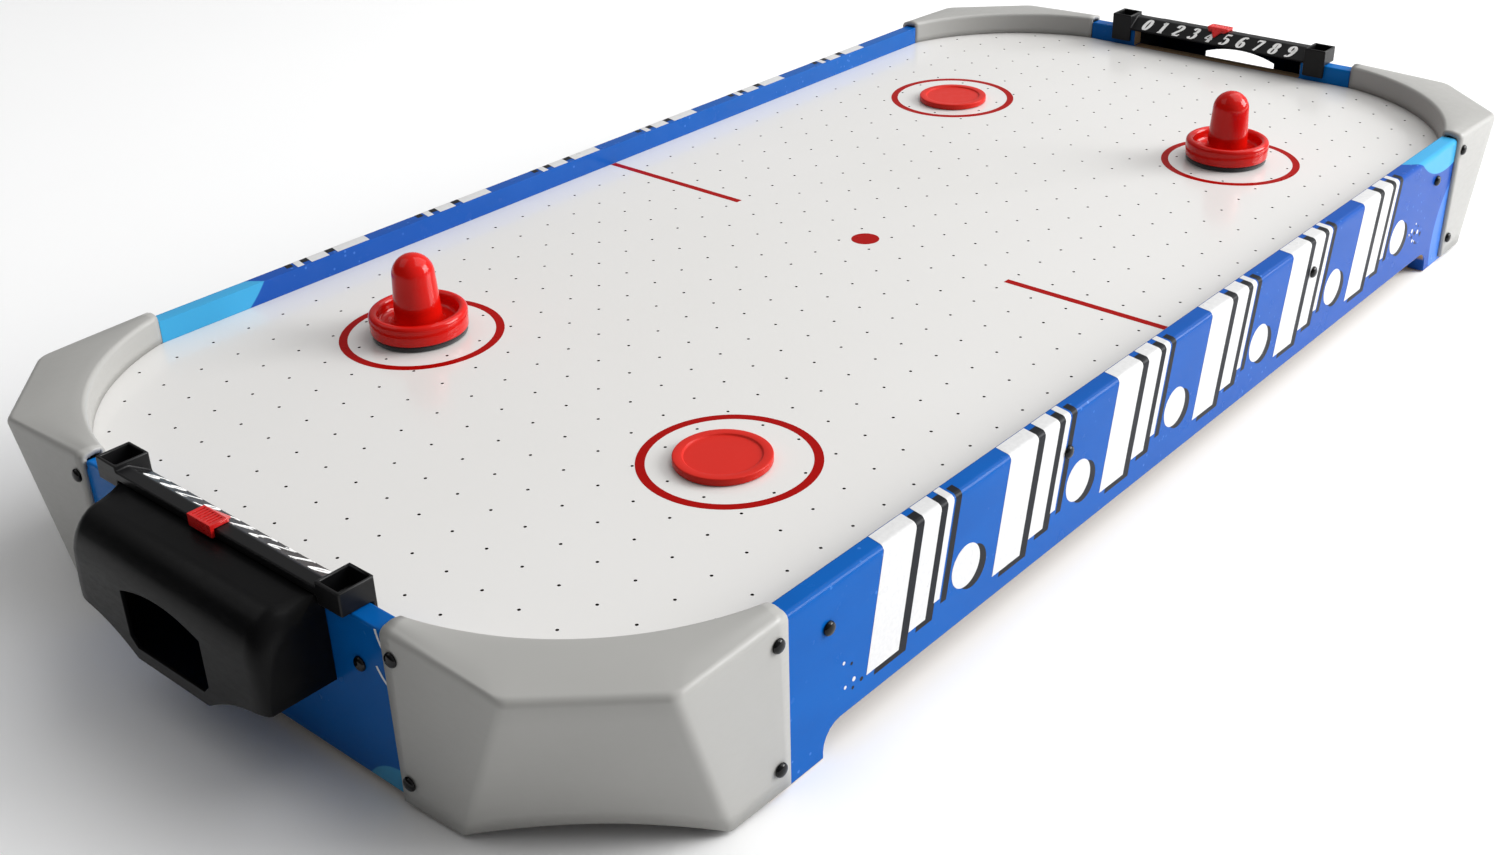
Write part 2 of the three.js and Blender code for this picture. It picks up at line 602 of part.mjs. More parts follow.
// ---- switch, power inlet and inner lead -----------------------------------------------------------
function addPower() {
  const y = FIELD.y + APRON_T;
  const plate = block(SWITCH_X - 11, SWITCH_X + 11, y + GAP, y + 1.8, POWER_Z - 8, POWER_Z + 8);
  const body = block(SWITCH_X - 9.2, SWITCH_X + 9.2, y - 14, y + 1, POWER_Z - 6.2, POWER_Z + 6.2);
  const well = block(SWITCH_X - 7.7, SWITCH_X + 7.7, y - 9, y + 3, POWER_Z - 4.9, POWER_Z + 4.9);
  place('switch_bezel', geometryOf(solid(plate).add(solid(body)).subtract(solid(well))), LOOK.black);

  const rocker = outline([
    [SWITCH_X - 7, y - 4], [SWITCH_X + 7, y - 4], [SWITCH_X + 7, y + 0.4], [SWITCH_X, y - 0.6],
    [SWITCH_X - 7, y + 1.6],
  ]);
  place('rocker_switch', prismZ(rocker, POWER_Z - 4.5, POWER_Z + 4.5), LOOK.black);

  const flange = lathe([
    [3.2, -12], [5.2, -12], [5.2, GAP], [7.5, GAP], [7.5, 1.6], [3.2, 1.6], [3.2, -9], [3.2, -12],
  ], 24);
  const wall = lathe([[0, -13], [5.2, -13], [5.2, -11.9], [0, -11.9], [0, -13]], 24);
  const pin = lathe([[0, -12.5], [1, -12.5], [1, 0], [0, 0], [0, -12.5]], 12);
  const inlet = solid(flange).add(solid(wall)).add(solid(pin));
  place('dc_inlet', geometryOf(inlet), LOOK.black, [INLET_X, y, POWER_Z], [-Math.PI / 2, 0, 0]);

  const route = [
    [SWITCH_X, y - 14.6, POWER_Z], [SWITCH_X, 225, POWER_Z - 1.5], [SWITCH_X - 14, 205, POWER_Z - 3],
    [200, 160, POWER_Z - 4], [150, 100, POWER_Z - 5], [110, 45, POWER_Z - 8],
    [85, 10, FAN_LOW + 12], [66, 0, FAN_LOW + 10], [FAN.side / 2 + 0.5, 0, FAN_LOW + 10],
  ];
  const points = route.map((point) => new THREE.Vector3(...point));
  const curve = new THREE.CatmullRomCurve3(points, false, 'centripetal');
  const section = outline(arc(0, 0, 2, 2, 0, 315, 7));
  const lead = new THREE.ExtrudeGeometry(section, { steps: 56, extrudePath: curve, bevelEnabled: false });
  place('supply_lead', lead, LOOK.lead);
}

// ---- screws -----------------------------------------------------------------------------------------
// A domed cap head that stands off its face along +Z of its own frame.
function screwHead(radius, height) {
  const shoulder = GAP + height * 0.35;
  const dome = arc(0, shoulder, radius, height * 0.65, 0, 90, 3).slice(1, -1);
  return lathe([[0, GAP], [radius, GAP], [radius, shoulder], ...dome, [0, GAP + height], [0, GAP]], 10);
}

function addScrews() {
  const head = screwHead(SCREW.r, SCREW.height);
  const rows = [['top', SCREW.top], ['low', SCREW.low]];
  for (const [end, sx] of ENDS) {
    for (const [side, sy] of SIDES) {
      for (const [row, z] of rows) {
        const onSide = [sx * (CORNER.seamX + SCREW.fromSeam), sy * CORNER.y, z];
        place(`screw_side_${end}_${side}_${row}`, head, LOOK.screw, onSide, [-sy * Math.PI / 2, 0, 0]);
        const onEnd = [sx * CORNER.x, sy * (CORNER.seamY + SCREW.fromEndSeam), z];
        place(`screw_end_${end}_${side}_${row}`, head, LOOK.screw, onEnd, [0, sx * Math.PI / 2, 0]);
      }
    }
  }
  for (const [side, sy] of SIDES) {
    APRON_SCREWS.forEach((x, i) => {
      const at = [x, sy * (FIELD.y + APRON_T), APRON_SCREW_Z];
      place(`screw_apron_${side}_${i + 1}`, head, LOOK.screw, at, [-sy * Math.PI / 2, 0, 0]);
    });
  }
}

addPlayfield();
addBattens();
addBasePanel();
addFan();
addAprons();
addCorners();
addGoalBoxes();
addScoreBars();
addGamePieces();
addPower();
addScrews();

export default table;
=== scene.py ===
import math
import random

import bmesh
import bpy
from mathutils import Matrix, Vector


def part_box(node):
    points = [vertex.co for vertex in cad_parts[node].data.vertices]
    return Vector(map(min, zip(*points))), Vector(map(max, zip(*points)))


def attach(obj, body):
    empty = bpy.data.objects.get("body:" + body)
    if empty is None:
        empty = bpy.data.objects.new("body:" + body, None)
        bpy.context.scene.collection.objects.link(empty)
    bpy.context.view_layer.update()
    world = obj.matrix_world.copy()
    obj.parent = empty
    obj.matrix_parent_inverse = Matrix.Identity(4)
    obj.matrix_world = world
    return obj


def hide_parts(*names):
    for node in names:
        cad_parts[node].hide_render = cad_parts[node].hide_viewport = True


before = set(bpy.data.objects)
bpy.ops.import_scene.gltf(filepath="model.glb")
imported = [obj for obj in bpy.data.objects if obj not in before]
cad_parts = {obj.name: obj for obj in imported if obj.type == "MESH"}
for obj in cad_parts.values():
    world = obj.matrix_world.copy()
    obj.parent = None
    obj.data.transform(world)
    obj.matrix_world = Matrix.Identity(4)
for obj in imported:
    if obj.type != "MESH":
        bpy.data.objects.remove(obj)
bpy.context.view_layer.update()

MM = 0.001
SUNK = 0.05                   # how far thin print reaches into the surface under it
ENDS = {"left": -1, "right": 1}
SIDES = {"front": -1, "back": 1}

# ---- places, read from the frame, in millimetres -------------------------------------------


def box_mm(node):
    low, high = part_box(node)
    return [v / MM for v in low], [v / MM for v in high]


PLAY_Z = box_mm("playfield")[1][2]
APRON_LOW, APRON_HIGH = box_mm("apron_back")
APRON_OUT, APRON_IN, APRON_TOP = APRON_HIGH[1], APRON_LOW[1], APRON_HIGH[2]
END_OUT = box_mm("apron_right")[1][0]
CORNER_LOW, CORNER_HIGH = box_mm("corner_right_back")
SEAM_X, SEAM_Y = CORNER_LOW[0], CORNER_LOW[1]
CORNER_X, CORNER_Y = CORNER_HIGH[0], CORNER_HIGH[1]
BAR_IN = box_mm("score_frame_right")[0][0]

# ---- node materials ------------------------------------------------------------------------


class Paint:
    """A procedural material: a Principled shader and short calls that add nodes to it."""

    def __init__(self, name):
        self.material = bpy.data.materials.new(name)
        self.material.use_nodes = True
        self.tree = self.material.node_tree
        self.shader = self.tree.nodes["Principled BSDF"]
        self.place = self.node("ShaderNodeTexCoord").outputs["Object"]

    def node(self, kind, **settings):
        made = self.tree.nodes.new(kind)
        for key, value in settings.items():
            setattr(made, key, value)
        return made

    def feed(self, socket, value):
        if isinstance(value, bpy.types.NodeSocket):
            self.tree.links.new(value, socket)
        else:
            socket.default_value = value

    def set(self, **values):
        for key, value in values.items():
            self.feed(self.shader.inputs[key.replace("_", " ")], value)
        return self

    def noise(self, scale, detail=3.0, rough=0.5, stretch=(1, 1, 1)):
        made = self.node("ShaderNodeTexNoise")
        self.feed(made.inputs["Vector"], self.stretched(stretch))
        made.inputs["Scale"].default_value = scale
        made.inputs["Detail"].default_value = detail
        made.inputs["Roughness"].default_value = rough
        return made.outputs["Fac"]

    def stretched(self, stretch):
        if stretch == (1, 1, 1):
            return self.place
        made = self.node("ShaderNodeMapping")
        self.feed(made.inputs["Vector"], self.place)
        made.inputs["Scale"].default_value = stretch
        return made.outputs["Vector"]

    def cells(self, scale, feature="F1"):
        made = self.node("ShaderNodeTexVoronoi", feature=feature)
        self.feed(made.inputs["Vector"], self.place)
        made.inputs["Scale"].default_value = scale
        return made.outputs["Distance"]

    def ramp(self, fac, stops):
        made = self.node("ShaderNodeValToRGB")
        self.feed(made.inputs["Fac"], fac)
        elements = made.color_ramp.elements
        while len(elements) < len(stops):
            elements.new(0.5)
        for element, (position, colour) in zip(elements, stops):
            element.position = position
            element.color = (*colour, 1)
        return made.outputs["Color"]

    def span(self, value, low, high, to_low=0.0, to_high=1.0):
        made = self.node("ShaderNodeMapRange")
        self.feed(made.inputs["Value"], value)
        made.inputs["From Min"].default_value = low
        made.inputs["From Max"].default_value = high
        made.inputs["To Min"].default_value = to_low
        made.inputs["To Max"].default_value = to_high
        return made.outputs["Result"]

    def maths(self, operation, a, b=0.0):
        made = self.node("ShaderNodeMath", operation=operation)
        self.feed(made.inputs[0], a)
        self.feed(made.inputs[1], b)
        return made.outputs[0]

    def mix(self, fac, a, b):
        made = self.node("ShaderNodeMix", data_type="RGBA")
        self.feed(made.inputs["Factor"], fac)
        for socket, value in ((made.inputs[6], a), (made.inputs[7], b)):
            self.feed(socket, value if isinstance(value, bpy.types.NodeSocket) else (*value, 1))
        return made.outputs[2]

    def xyz(self):
        made = self.node("ShaderNodeSeparateXYZ")
        self.feed(made.inputs["Vector"], self.place)
        return made.outputs

    def facing(self, axis):
        made = self.node("ShaderNodeSeparateXYZ")
        self.feed(made.inputs["Vector"], self.node("ShaderNodeTexCoord").outputs["Normal"])
        return made.outputs[axis]

    def bump(self, height, strength, distance_mm):
        made = self.node("ShaderNodeBump")
        self.feed(made.inputs["Height"], height)
        made.inputs["Strength"].default_value = strength
        made.inputs["Distance"].default_value = distance_mm * MM
        self.feed(self.shader.inputs["Normal"], made.outputs["Normal"])
        return self


def shade(colour, factor):
    return tuple(min(1.0, channel * factor) for channel in colour)


def moulded(name, colour, rough, grain_mm=0.5, relief=0.12, spread=0.12, coat=0.0, shine=0.5):
    """Moulded plastic: fine grain, faint cloudy colour and small scuffs that dull it."""
    paint = Paint(name)
    cloud = paint.noise(9, 4)
    tone = paint.ramp(cloud, [(0.3, shade(colour, 1 - spread)), (0.7, shade(colour, 1 + spread))])
    scuff = paint.noise(140, 6, 0.65, (1, 1, 3))
    paint.set(Base_Color=tone, Roughness=paint.span(scuff, 0.35, 0.7, rough * 0.88, min(1, rough * 1.2)))
    paint.set(Coat_Weight=coat, Coat_Roughness=0.06, Specular_IOR_Level=shine)
    return paint.bump(paint.noise(1 / (grain_mm * MM), 2), relief, 0.06).material


def laminate():
    paint = Paint("white_laminate")
    tone = paint.ramp(paint.noise(5, 5), [(0.25, (0.715, 0.705, 0.685)), (0.75, (0.735, 0.725, 0.71))])
    smear = paint.noise(14, 6, 0.7, (1, 2.5, 1))
    paint.set(Base_Color=tone, Roughness=paint.span(smear, 0.3, 0.75, 0.17, 0.26))
    paint.set(Coat_Weight=0.25, Coat_Roughness=0.08)
    return paint.bump(paint.noise(160, 2), 0.01, 0.03).material


def ink(name, colour, rough=0.4, shine=0.1):
    paint = Paint(name)
    tone = paint.ramp(paint.noise(420, 4), [(0.3, shade(colour, 0.95)), (0.7, shade(colour, 1.04))])
    paint.set(Specular_IOR_Level=shine)
    worn = paint.noise(60, 5)
    paint.set(Base_Color=tone, Roughness=paint.span(worn, 0.3, 0.7, rough * 0.85, rough * 1.2))
    return paint.bump(paint.noise(900, 2), 0.08, 0.02).material


FIBRE_DARK = (0.30, 0.19, 0.105)
FIBRE_LIGHT = (0.50, 0.35, 0.21)


def fibre_tone(paint):
    fleck = paint.noise(900, 4, 0.7, (1, 1, 2.2))
    return paint.ramp(fleck, [(0.3, FIBRE_DARK), (0.72, FIBRE_LIGHT)])


def fibreboard():
    paint = Paint("raw_fibreboard")
    paint.set(Base_Color=fibre_tone(paint), Roughness=0.86)
    return paint.bump(paint.noise(1400, 4, 0.7), 0.35, 0.15).material


def hardboard():
    paint = Paint("hardboard")
    tone = paint.ramp(paint.noise(700, 5, 0.7), [(0.3, (0.13, 0.075, 0.04)), (0.7, (0.26, 0.16, 0.09))])
    paint.set(Base_Color=tone, Roughness=paint.span(paint.noise(40, 4), 0.3, 0.7, 0.5, 0.68))
    return paint.bump(paint.noise(1100, 4), 0.2, 0.08).material


def felt():
    paint = Paint("black_felt")
    fuzz = paint.noise(1800, 4, 0.8)
    tone = paint.ramp(fuzz, [(0.3, (0.006, 0.006, 0.007)), (0.75, (0.035, 0.035, 0.037))])
    paint.set(Base_Color=tone, Roughness=0.97, Sheen_Weight=0.5)
    return paint.bump(paint.noise(2600, 4, 0.8), 0.7, 0.3).material


def motor_metal():
    paint = Paint("motor_metal")
    brushed = paint.noise(300, 3, 0.5, (1, 1, 12))
    tone = paint.ramp(brushed, [(0.3, (0.36, 0.36, 0.37)), (0.7, (0.55, 0.55, 0.56))])
    rough = paint.span(paint.noise(90, 5), 0.3, 0.7, 0.28, 0.45)
    paint.set(Base_Color=tone, Metallic=1.0, Roughness=rough)
    return paint.bump(paint.noise(800, 3, 0.5, (1, 1, 10)), 0.15, 0.05).material


ROYAL = (0.001, 0.100, 0.41)
ROYAL_FAR = (0.010, 0.070, 0.37)
DEEP = (0.004, 0.060, 0.28)
CYAN = (0.05, 0.35, 0.64)
SKY = (0.10, 0.30, 0.85)
DROP_BLUE = (0.12, 0.33, 0.80)
TEAL = (0.05, 0.26, 0.46)
LIGHT_PATCH = (372, 152, 74)          # round patches of the print: middle and radius
SKY_PATCH = (428, 20, 60)
TEAL_PATCH = (122, -16, 34)
SHADE_SLANT_RISE, SHADE_SLANT_AT = 0.55, 104.0    # where the painted shade on an end apron ends: darker blue below this slant, lighter blue above it


def round_patch(paint, x, z, cx, cz, radius, soft=0.4):
    """1 inside a circle of the x-z plane, in millimetres, and 0 outside it."""
    dx = paint.maths("SUBTRACT", x, cx * MM)
    dz = paint.maths("SUBTRACT", z, cz * MM)
    square = paint.maths("ADD", paint.maths("MULTIPLY", dx, dx), paint.maths("MULTIPLY", dz, dz))
    far = paint.maths("SQRT", square)
    return paint.span(far, (radius + soft) * MM, (radius - soft) * MM)


def underside(paint):
    """1 on faces that look down, and 0 elsewhere."""
    return paint.span(paint.facing("Z"), -0.4, -0.6)


def long_film(name, turn):
    """Printed blue film of a long apron. turn is 1 on the front apron, and -1 on the back one, which is
    the same print turned half round, so that its light patch is at the other end."""
    paint = Paint(name)
    x, y, z = paint.xyz()
    along = paint.maths("MULTIPLY", x, float(turn))
    across = paint.maths("MULTIPLY", y, float(turn))
    lift = paint.maths("ADD", z, paint.maths("ADD", across, APRON_OUT * MM))
    blue = paint.mix(paint.span(along, -0.30, 0.42), ROYAL, ROYAL_FAR)
    cloud = paint.noise(16, 4, 0.5, (1, 1, 2))
    blue = paint.mix(paint.span(cloud, 0.35, 0.8, 0.0, 0.35), blue, DEEP)
    drops = paint.span(paint.cells(150), 0.16, 0.10, 0.0, 0.35)
    patchy = paint.span(paint.noise(22, 2), 0.52, 0.62)
    blue = paint.mix(paint.maths("MULTIPLY", drops, patchy), blue, DROP_BLUE)
    blue = paint.mix(round_patch(paint, along, lift, *LIGHT_PATCH), blue, CYAN)
    sky = round_patch(paint, along, lift, *SKY_PATCH)
    blue = paint.mix(paint.maths("MULTIPLY", sky, 0.5), blue, SKY)
    return filmed(paint, blue, underside(paint))


def filmed(paint, blue, raw):
    """The glossy film, and the raw board that shows where raw is 1."""
    tone = paint.mix(raw, blue, fibre_tone(paint))
    gloss = paint.span(paint.noise(90, 5), 0.3, 0.7, 0.18, 0.28)
    paint.set(Base_Color=tone, Roughness=paint.maths("MAXIMUM", gloss, paint.maths("MULTIPLY", raw, 0.85)))
    paint.set(Specular_IOR_Level=0.06, Coat_Weight=0.05, Coat_Roughness=0.03)
    return paint.bump(paint.noise(120, 3), 0.03, 0.06).material


def end_film(name, turn):
    """Printed film of an end apron, with painted shade: a darker blue below a slanted line and a lighter
    blue above it.
    """
    paint = Paint(name)
    _, y, z = paint.xyz()
    across = paint.maths("MULTIPLY", y, float(turn))
    # painted shade: below this slant the film is painted the darker blue, above it the lighter blue
    slant = paint.maths("ADD", z, paint.maths("MULTIPLY", across, -SHADE_SLANT_RISE))
    light = paint.span(slant, (SHADE_SLANT_AT - 0.5) * MM, (SHADE_SLANT_AT + 0.5) * MM)
    cloud = paint.noise(16, 4)
    # the darker blue is the painted shade, the lighter blue the lit part; each gets its own random cloudy
    # tone
    deep = paint.mix(paint.span(cloud, 0.3, 0.8), (0.001, 0.098, 0.36), (0.001, 0.080, 0.30))
    lit_blue = paint.mix(paint.span(cloud, 0.3, 0.8), (0.001, 0.145, 0.48), (0.002, 0.12, 0.43))
    blue = paint.mix(light, deep, lit_blue)
    blue = paint.mix(round_patch(paint, across, z, *TEAL_PATCH), blue, TEAL)
    cut_ends = paint.span(paint.maths("ABSOLUTE", paint.facing("Y")), 0.8, 0.9)
    raw = paint.maths("MAXIMUM", underside(paint), cut_ends)
    sill = paint.maths("MULTIPLY", paint.span(z, (PLAY_Z + 2) * MM, (PLAY_Z + 1) * MM),
                       paint.span(paint.facing("Z"), 0.8, 0.9))
    return filmed(paint, blue, paint.maths("MAXIMUM", raw, sill))


GREY = moulded("corner_grey", (0.37, 0.366, 0.35), 0.4, 0.7, 0.2, 0.03)
BLACK = moulded("satin_black", (0.0025, 0.0025, 0.0028), 0.33, 0.6, 0.3, 0.3, shine=0.12)
FRAME_BLACK = moulded("frame_black", (0.005, 0.005, 0.0055), 0.34, 0.5, 0.25, 0.3, shine=0.22)
RED = moulded("gloss_red", (0.60, 0.006, 0.003), 0.13, 1.2, 0.02, 0.06, 0.1, 0.2)
SLIDER_RED = moulded("slider_red", (0.60, 0.010, 0.009), 0.28, 0.8, 0.08, 0.08)
PUCK_RED = moulded("puck_red", (0.60, 0.018, 0.010), 0.34, 0.8, 0.04, 0.04, shine=0.15)
CAP_BLACK = moulded("cap_black", (0.002, 0.002, 0.0023), 0.14, 1.0, 0.02, 0.2, 0.12, 0.2)
LEAD_BLACK = moulded("lead_black", (0.012, 0.012, 0.013), 0.5, 0.5, 0.2, 0.2)
# painted shade: the air holes' walls are near black so the narrow holes read dark, instead of the brown
# board they are drilled through
HOLE_SHADE = moulded("hole_painted_shade", (0.02, 0.014, 0.009), 0.9, 0.3, 0.3, 0.3)
LAMINATE = laminate()
LINE_RED = ink("line_red", (0.34, 0.002, 0.001), 0.3, 0.04)
PRINT_WHITE = ink("print_white", (0.67, 0.67, 0.67), 0.3, 0.3)
PRINT_BLACK = ink("print_black", (0.010, 0.011, 0.014), 0.35)
DIGIT_WHITE = ink("digit_white", (0.84, 0.84, 0.83), 0.45)
FIBRE = fibreboard()
HARD = hardboard()
FELT = felt()
METAL = motor_metal()

# ---- mesh tools ----------------------------------------------------------------------------


def new_piece(name, verts_mm, faces, material, smooth=40):
    mesh = bpy.data.meshes.new(name)
    mesh.from_pydata([tuple(c * MM for c in v) for v in verts_mm], [], [tuple(f) for f in faces])
    mesh.update()
    return link_piece(name, mesh, material, smooth)


def repaint(mesh, material):
    mesh.materials.clear()
    mesh.materials.append(material)


def link_piece(name, mesh, material, smooth=40):
    repaint(mesh, material)
    mesh.shade_smooth()
    mesh.set_sharp_from_angle(angle=math.radians(smooth))
    made = bpy.data.objects.new(name, mesh)
    bpy.context.scene.collection.objects.link(made)
    return made


def bevel(piece, width_mm, segments=3, angle=35):
    made = piece.modifiers.new("soft_edges", "BEVEL")
    made.width = width_mm * MM
    made.segments = segments
    made.limit_method = "ANGLE"
    made.angle_limit = math.radians(angle)
    made.miter_outer = "MITER_ARC"
    made.harden_normals = False
    return piece


def settle(piece, body, slot, *nodes):
    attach(piece, body)
    if nodes:
        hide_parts(*nodes)
    return piece


def detailed(node, material, width_mm, segments=3, angle=35, smooth=40):
    """A cleaned copy of a CAD node, with flat faces joined up and soft edges."""
    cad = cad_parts[node]
    work = bmesh.new()
    work.from_mesh(cad.data)
    work.transform(cad.matrix_world)
    bmesh.ops.remove_doubles(work, verts=work.verts, dist=0.004 * MM)
    bmesh.ops.dissolve_limit(work, angle_limit=math.radians(0.6), verts=work.verts, edges=work.edges)
    bmesh.ops.recalc_face_normals(work, faces=work.faces)
    mesh = bpy.data.meshes.new(f"{node}_detail")
    work.to_mesh(mesh)
    work.free()
    piece = link_piece(f"{node}_detail", mesh, material, smooth)
    if width_mm:
        bevel(piece, width_mm, segments, angle)
    return piece


def turned(name, profile_mm, segments, material, at=(0, 0, 0), smooth=40):
    """A closed turned body: profile points (radius, height), the first and last on the axis."""
    verts = []
    faces = []
    for radius, height in profile_mm[1:-1]:
        for i in range(segments):
            angle = 2 * math.pi * i / segments
            across, along = radius * math.cos(angle), radius * math.sin(angle)
            verts.append((at[0] + across, at[1] + along, at[2] + height))
    rows = len(profile_mm) - 2
    for row in range(rows - 1):
        for i in range(segments):
            j = (i + 1) % segments
            a = row * segments
            faces.append((a + i, a + j, a + segments + j, a + segments + i))
    low = len(verts)
    verts.append((at[0], at[1], at[2] + profile_mm[0][1]))
    verts.append((at[0], at[1], at[2] + profile_mm[-1][1]))
    last = (rows - 1) * segments
    for i in range(segments):
        j = (i + 1) % segments
        faces.append((low, j, i))
        faces.append((low + 1, last + i, last + j))
    return new_piece(name, verts, faces, material, smooth)


def arc_points(cx, cy, rx, ry, start, end, steps):
    points = []
    for i in range(steps + 1):
        angle = math.radians(start + (end - start) * i / steps)
        points.append((cx + rx * math.cos(angle), cy + ry * math.sin(angle)))
    return points


def disc(x, u, radius, steps=44):
    return arc_points(x, u, radius, radius, 0, 360 - 360 / steps, steps - 1)


def slab(outlines, low, high, place):
    """Verts and faces of flat slabs, one for each outline of (u, v). place(u, v, w) gives the spot."""
    verts = []
    faces = []
    for outline in outlines:
        start = len(verts)
        count = len(outline)
        verts += [place(u, v, low) for u, v in outline]
        verts += [place(u, v, high) for u, v in outline]
        faces.append(tuple(start + count + i for i in range(count)))
        faces.append(tuple(start + i for i in reversed(range(count))))
        for i in range(count):
            j = (i + 1) % count
            faces.append((start + i, start + j, start + count + j, start + count + i))
    return verts, faces


# ---- playfield and its print ---------------------------------------------------------------
HOLE_PITCH = 25.4
HOLE_R = 0.95
HOLES_X, HOLES_Y = 19, 9              # rows on each side of the middle
HOLE_SIDES = 10
DRILL_DOWN, DRILL_UP = 8, 2           # how far the drill reaches past the surface each way
CORNER_ARC = (342.5, 91.2, 155.6)     # the wall that the puck rides round: middle and radius
CORNER_CLEAR = 7                      # bare board between the holes and that wall


def hole_places():
    """The air holes: every lattice point that the corner pieces leave clear."""
    places = []
    for i in range(-HOLES_X, HOLES_X):
        for j in range(-HOLES_Y, HOLES_Y):
            x, y = (i + 0.5) * HOLE_PITCH, (j + 0.5) * HOLE_PITCH
            beyond_x, beyond_y = abs(x) - CORNER_ARC[0], abs(y) - CORNER_ARC[1]
            in_corner = beyond_x > 0 and beyond_y > 0
            if in_corner and math.hypot(beyond_x, beyond_y) > CORNER_ARC[2] - CORNER_CLEAR:
                continue
            places.append((x, y))
    return places


def playfield():
    board = detailed("playfield", LAMINATE, 0)
    verts = []
    faces = []
    for x, y in hole_places():
        start = len(verts)
        for z in (PLAY_Z - DRILL_DOWN, PLAY_Z + DRILL_UP):
            verts += [(px, py, z) for px, py in disc(x, y, HOLE_R, HOLE_SIDES)]
        top = start + HOLE_SIDES
        faces.append(tuple(start + i for i in reversed(range(HOLE_SIDES))))
        faces.append(tuple(top + i for i in range(HOLE_SIDES)))
        for i in range(HOLE_SIDES):
            j = (i + 1) % HOLE_SIDES
            faces.append((start + i, start + j, top + j, top + i))
    # the drill hands its painted-shade material to the walls of the air holes
    drill = new_piece("drill", verts, faces, HOLE_SHADE)
    cut = board.modifiers.new("air_holes", "BOOLEAN")
    cut.object = drill
    cut.solver = "EXACT"
    cut.material_mode = "TRANSFER"
    mesh = bpy.data.meshes.new_from_object(board.evaluated_get(bpy.context.evaluated_depsgraph_get()))
    bpy.data.objects.remove(board)
    bpy.data.objects.remove(drill)
    mesh.shade_flat()
    board = bpy.data.objects.new("playfield_board", mesh)
    bpy.context.scene.collection.objects.link(board)
    settle(board, "table", "playfield", "playfield")


RING_AT = [(sx * 281.0, sy * 125.0) for sx in (-1, 1) for sy in (-1, 1)]
RING_R = 47.4
LINE_W = 5.2
DOT_R = 9.5
MID_LINE = (113.0, 239.4)
INK_T = 0.05


def annulus(cx, cy, outer, inner, start):
    """Verts and faces of a thin printed ring, numbered from start."""
    count = 128
    verts = []
    low, high = PLAY_Z - SUNK, PLAY_Z + INK_T
    turns = [2 * math.pi * i / count for i in range(count)]
    for radius, z in ((outer, low), (outer, high), (inner, high), (inner, low)):
        verts += [(cx + radius * math.cos(turn), cy + radius * math.sin(turn), z) for turn in turns]
    faces = []
    for row in range(4):
        for i in range(count):
            j = (i + 1) % count
            a, b = start + row * count, start + (row + 1) % 4 * count
            faces.append((a + i, a + j, b + j, b + i))
    return verts, faces


def playfield_print():
    verts = []
    faces = []
    for cx, cy in RING_AT:
        more, quads = annulus(cx, cy, RING_R + LINE_W / 2, RING_R - LINE_W / 2, len(verts))
        verts += more
        faces += quads
    flats = [disc(0, 0, DOT_R, 60)]
    for side in (-1, 1):
        y0, y1 = sorted((side * MID_LINE[0], side * MID_LINE[1]))
        half = LINE_W / 2
        flats.append([(-half, y0), (half, y0), (half, y1), (-half, y1)])
    more, quads = slab(flats, PLAY_Z - SUNK, PLAY_Z + INK_T, lambda u, v, w: (u, v, w))
    faces += [tuple(i + len(verts) for i in face) for face in quads]
    verts += more
    settle(new_piece("playfield_lines", verts, faces, LINE_RED), "table", "playfield")


# ---- corner pieces -------------------------------------------------------------------------
SLOPE_X, SLOPE_Y = 461.0, 201.0       # ends of the sloped corner face, at the top
CORNER_SLOPE = {                      # its two upright edges, at the foot and at the top
    "low": ((507.0, 160.0), (429.0, 252.8)),
    "high": ((CORNER_X, SLOPE_Y), (SLOPE_X, CORNER_Y)),
}
CORNER_TOP = PLAY_Z + 15
CORNER_IN_TOP = PLAY_Z + 18
CORNER_WALL = 1.85
SEAM_RIM = 3.3                # the shell is thicker where it closes onto the aprons
CORNER_ROUND = 9.0
CORNER_FOOT = 2.2             # gap under the outer wall at its lowest
FOOT_ARCH = 8.5               # how much higher the gap is at the middle of the corner
FOOT_RISE = 1.0               # and at the seams
OUTER_FILLET = 4.5
INNER_FILLET = 3.0
CROWN = 0.6
SIDE_DROP = 0.5               # how much lower the top is at the side seam than at the end seam
FOOT_GAP = 0.3                # between the inner wall and the playfield


def rounded(points, radius, steps):
    """An open outline whose inner corners are rounded off."""
    out = [points[0]]
    for before, at, after in zip(points, points[1:], points[2:]):
        p, v, q = Vector(before), Vector(at), Vector(after)
        a, b = (p - v).normalized(), (q - v).normalized()
        reach = radius / math.tan(a.angle(b) / 2)
        start, end = v + a * reach, v + b * reach
        for i in range(steps + 1):
            t = i / steps
            out.append(tuple((1 - t) ** 2 * start + 2 * t * (1 - t) * v + t * t * end))
    out.append(points[-1])
    return out


def refined(points, marks):
    """The outline with every stretch between rounded corners split in the same way each time."""
    out = []
    for index, (a, b) in enumerate(zip(points, points[1:])):
        parts = marks.get(index, 1)
        for i in range(parts):
            t = i / parts
            out.append((a[0] + (b[0] - a[0]) * t, a[1] + (b[1] - a[1]) * t))
    out.append(points[-1])
    return out


def corner_ring(z):
    climb = z / CORNER_TOP
    mixed = [tuple(l + (h - l) * climb for l, h in zip(low, high))
             for low, high in zip(CORNER_SLOPE["low"], CORNER_SLOPE["high"])]
    steps = 6
    ring = rounded([(CORNER_X, SEAM_Y), *mixed, (SEAM_X, CORNER_Y)], CORNER_ROUND, steps)
    return refined(ring, {0: 10, steps + 1: 16, 2 * steps + 2: 10})


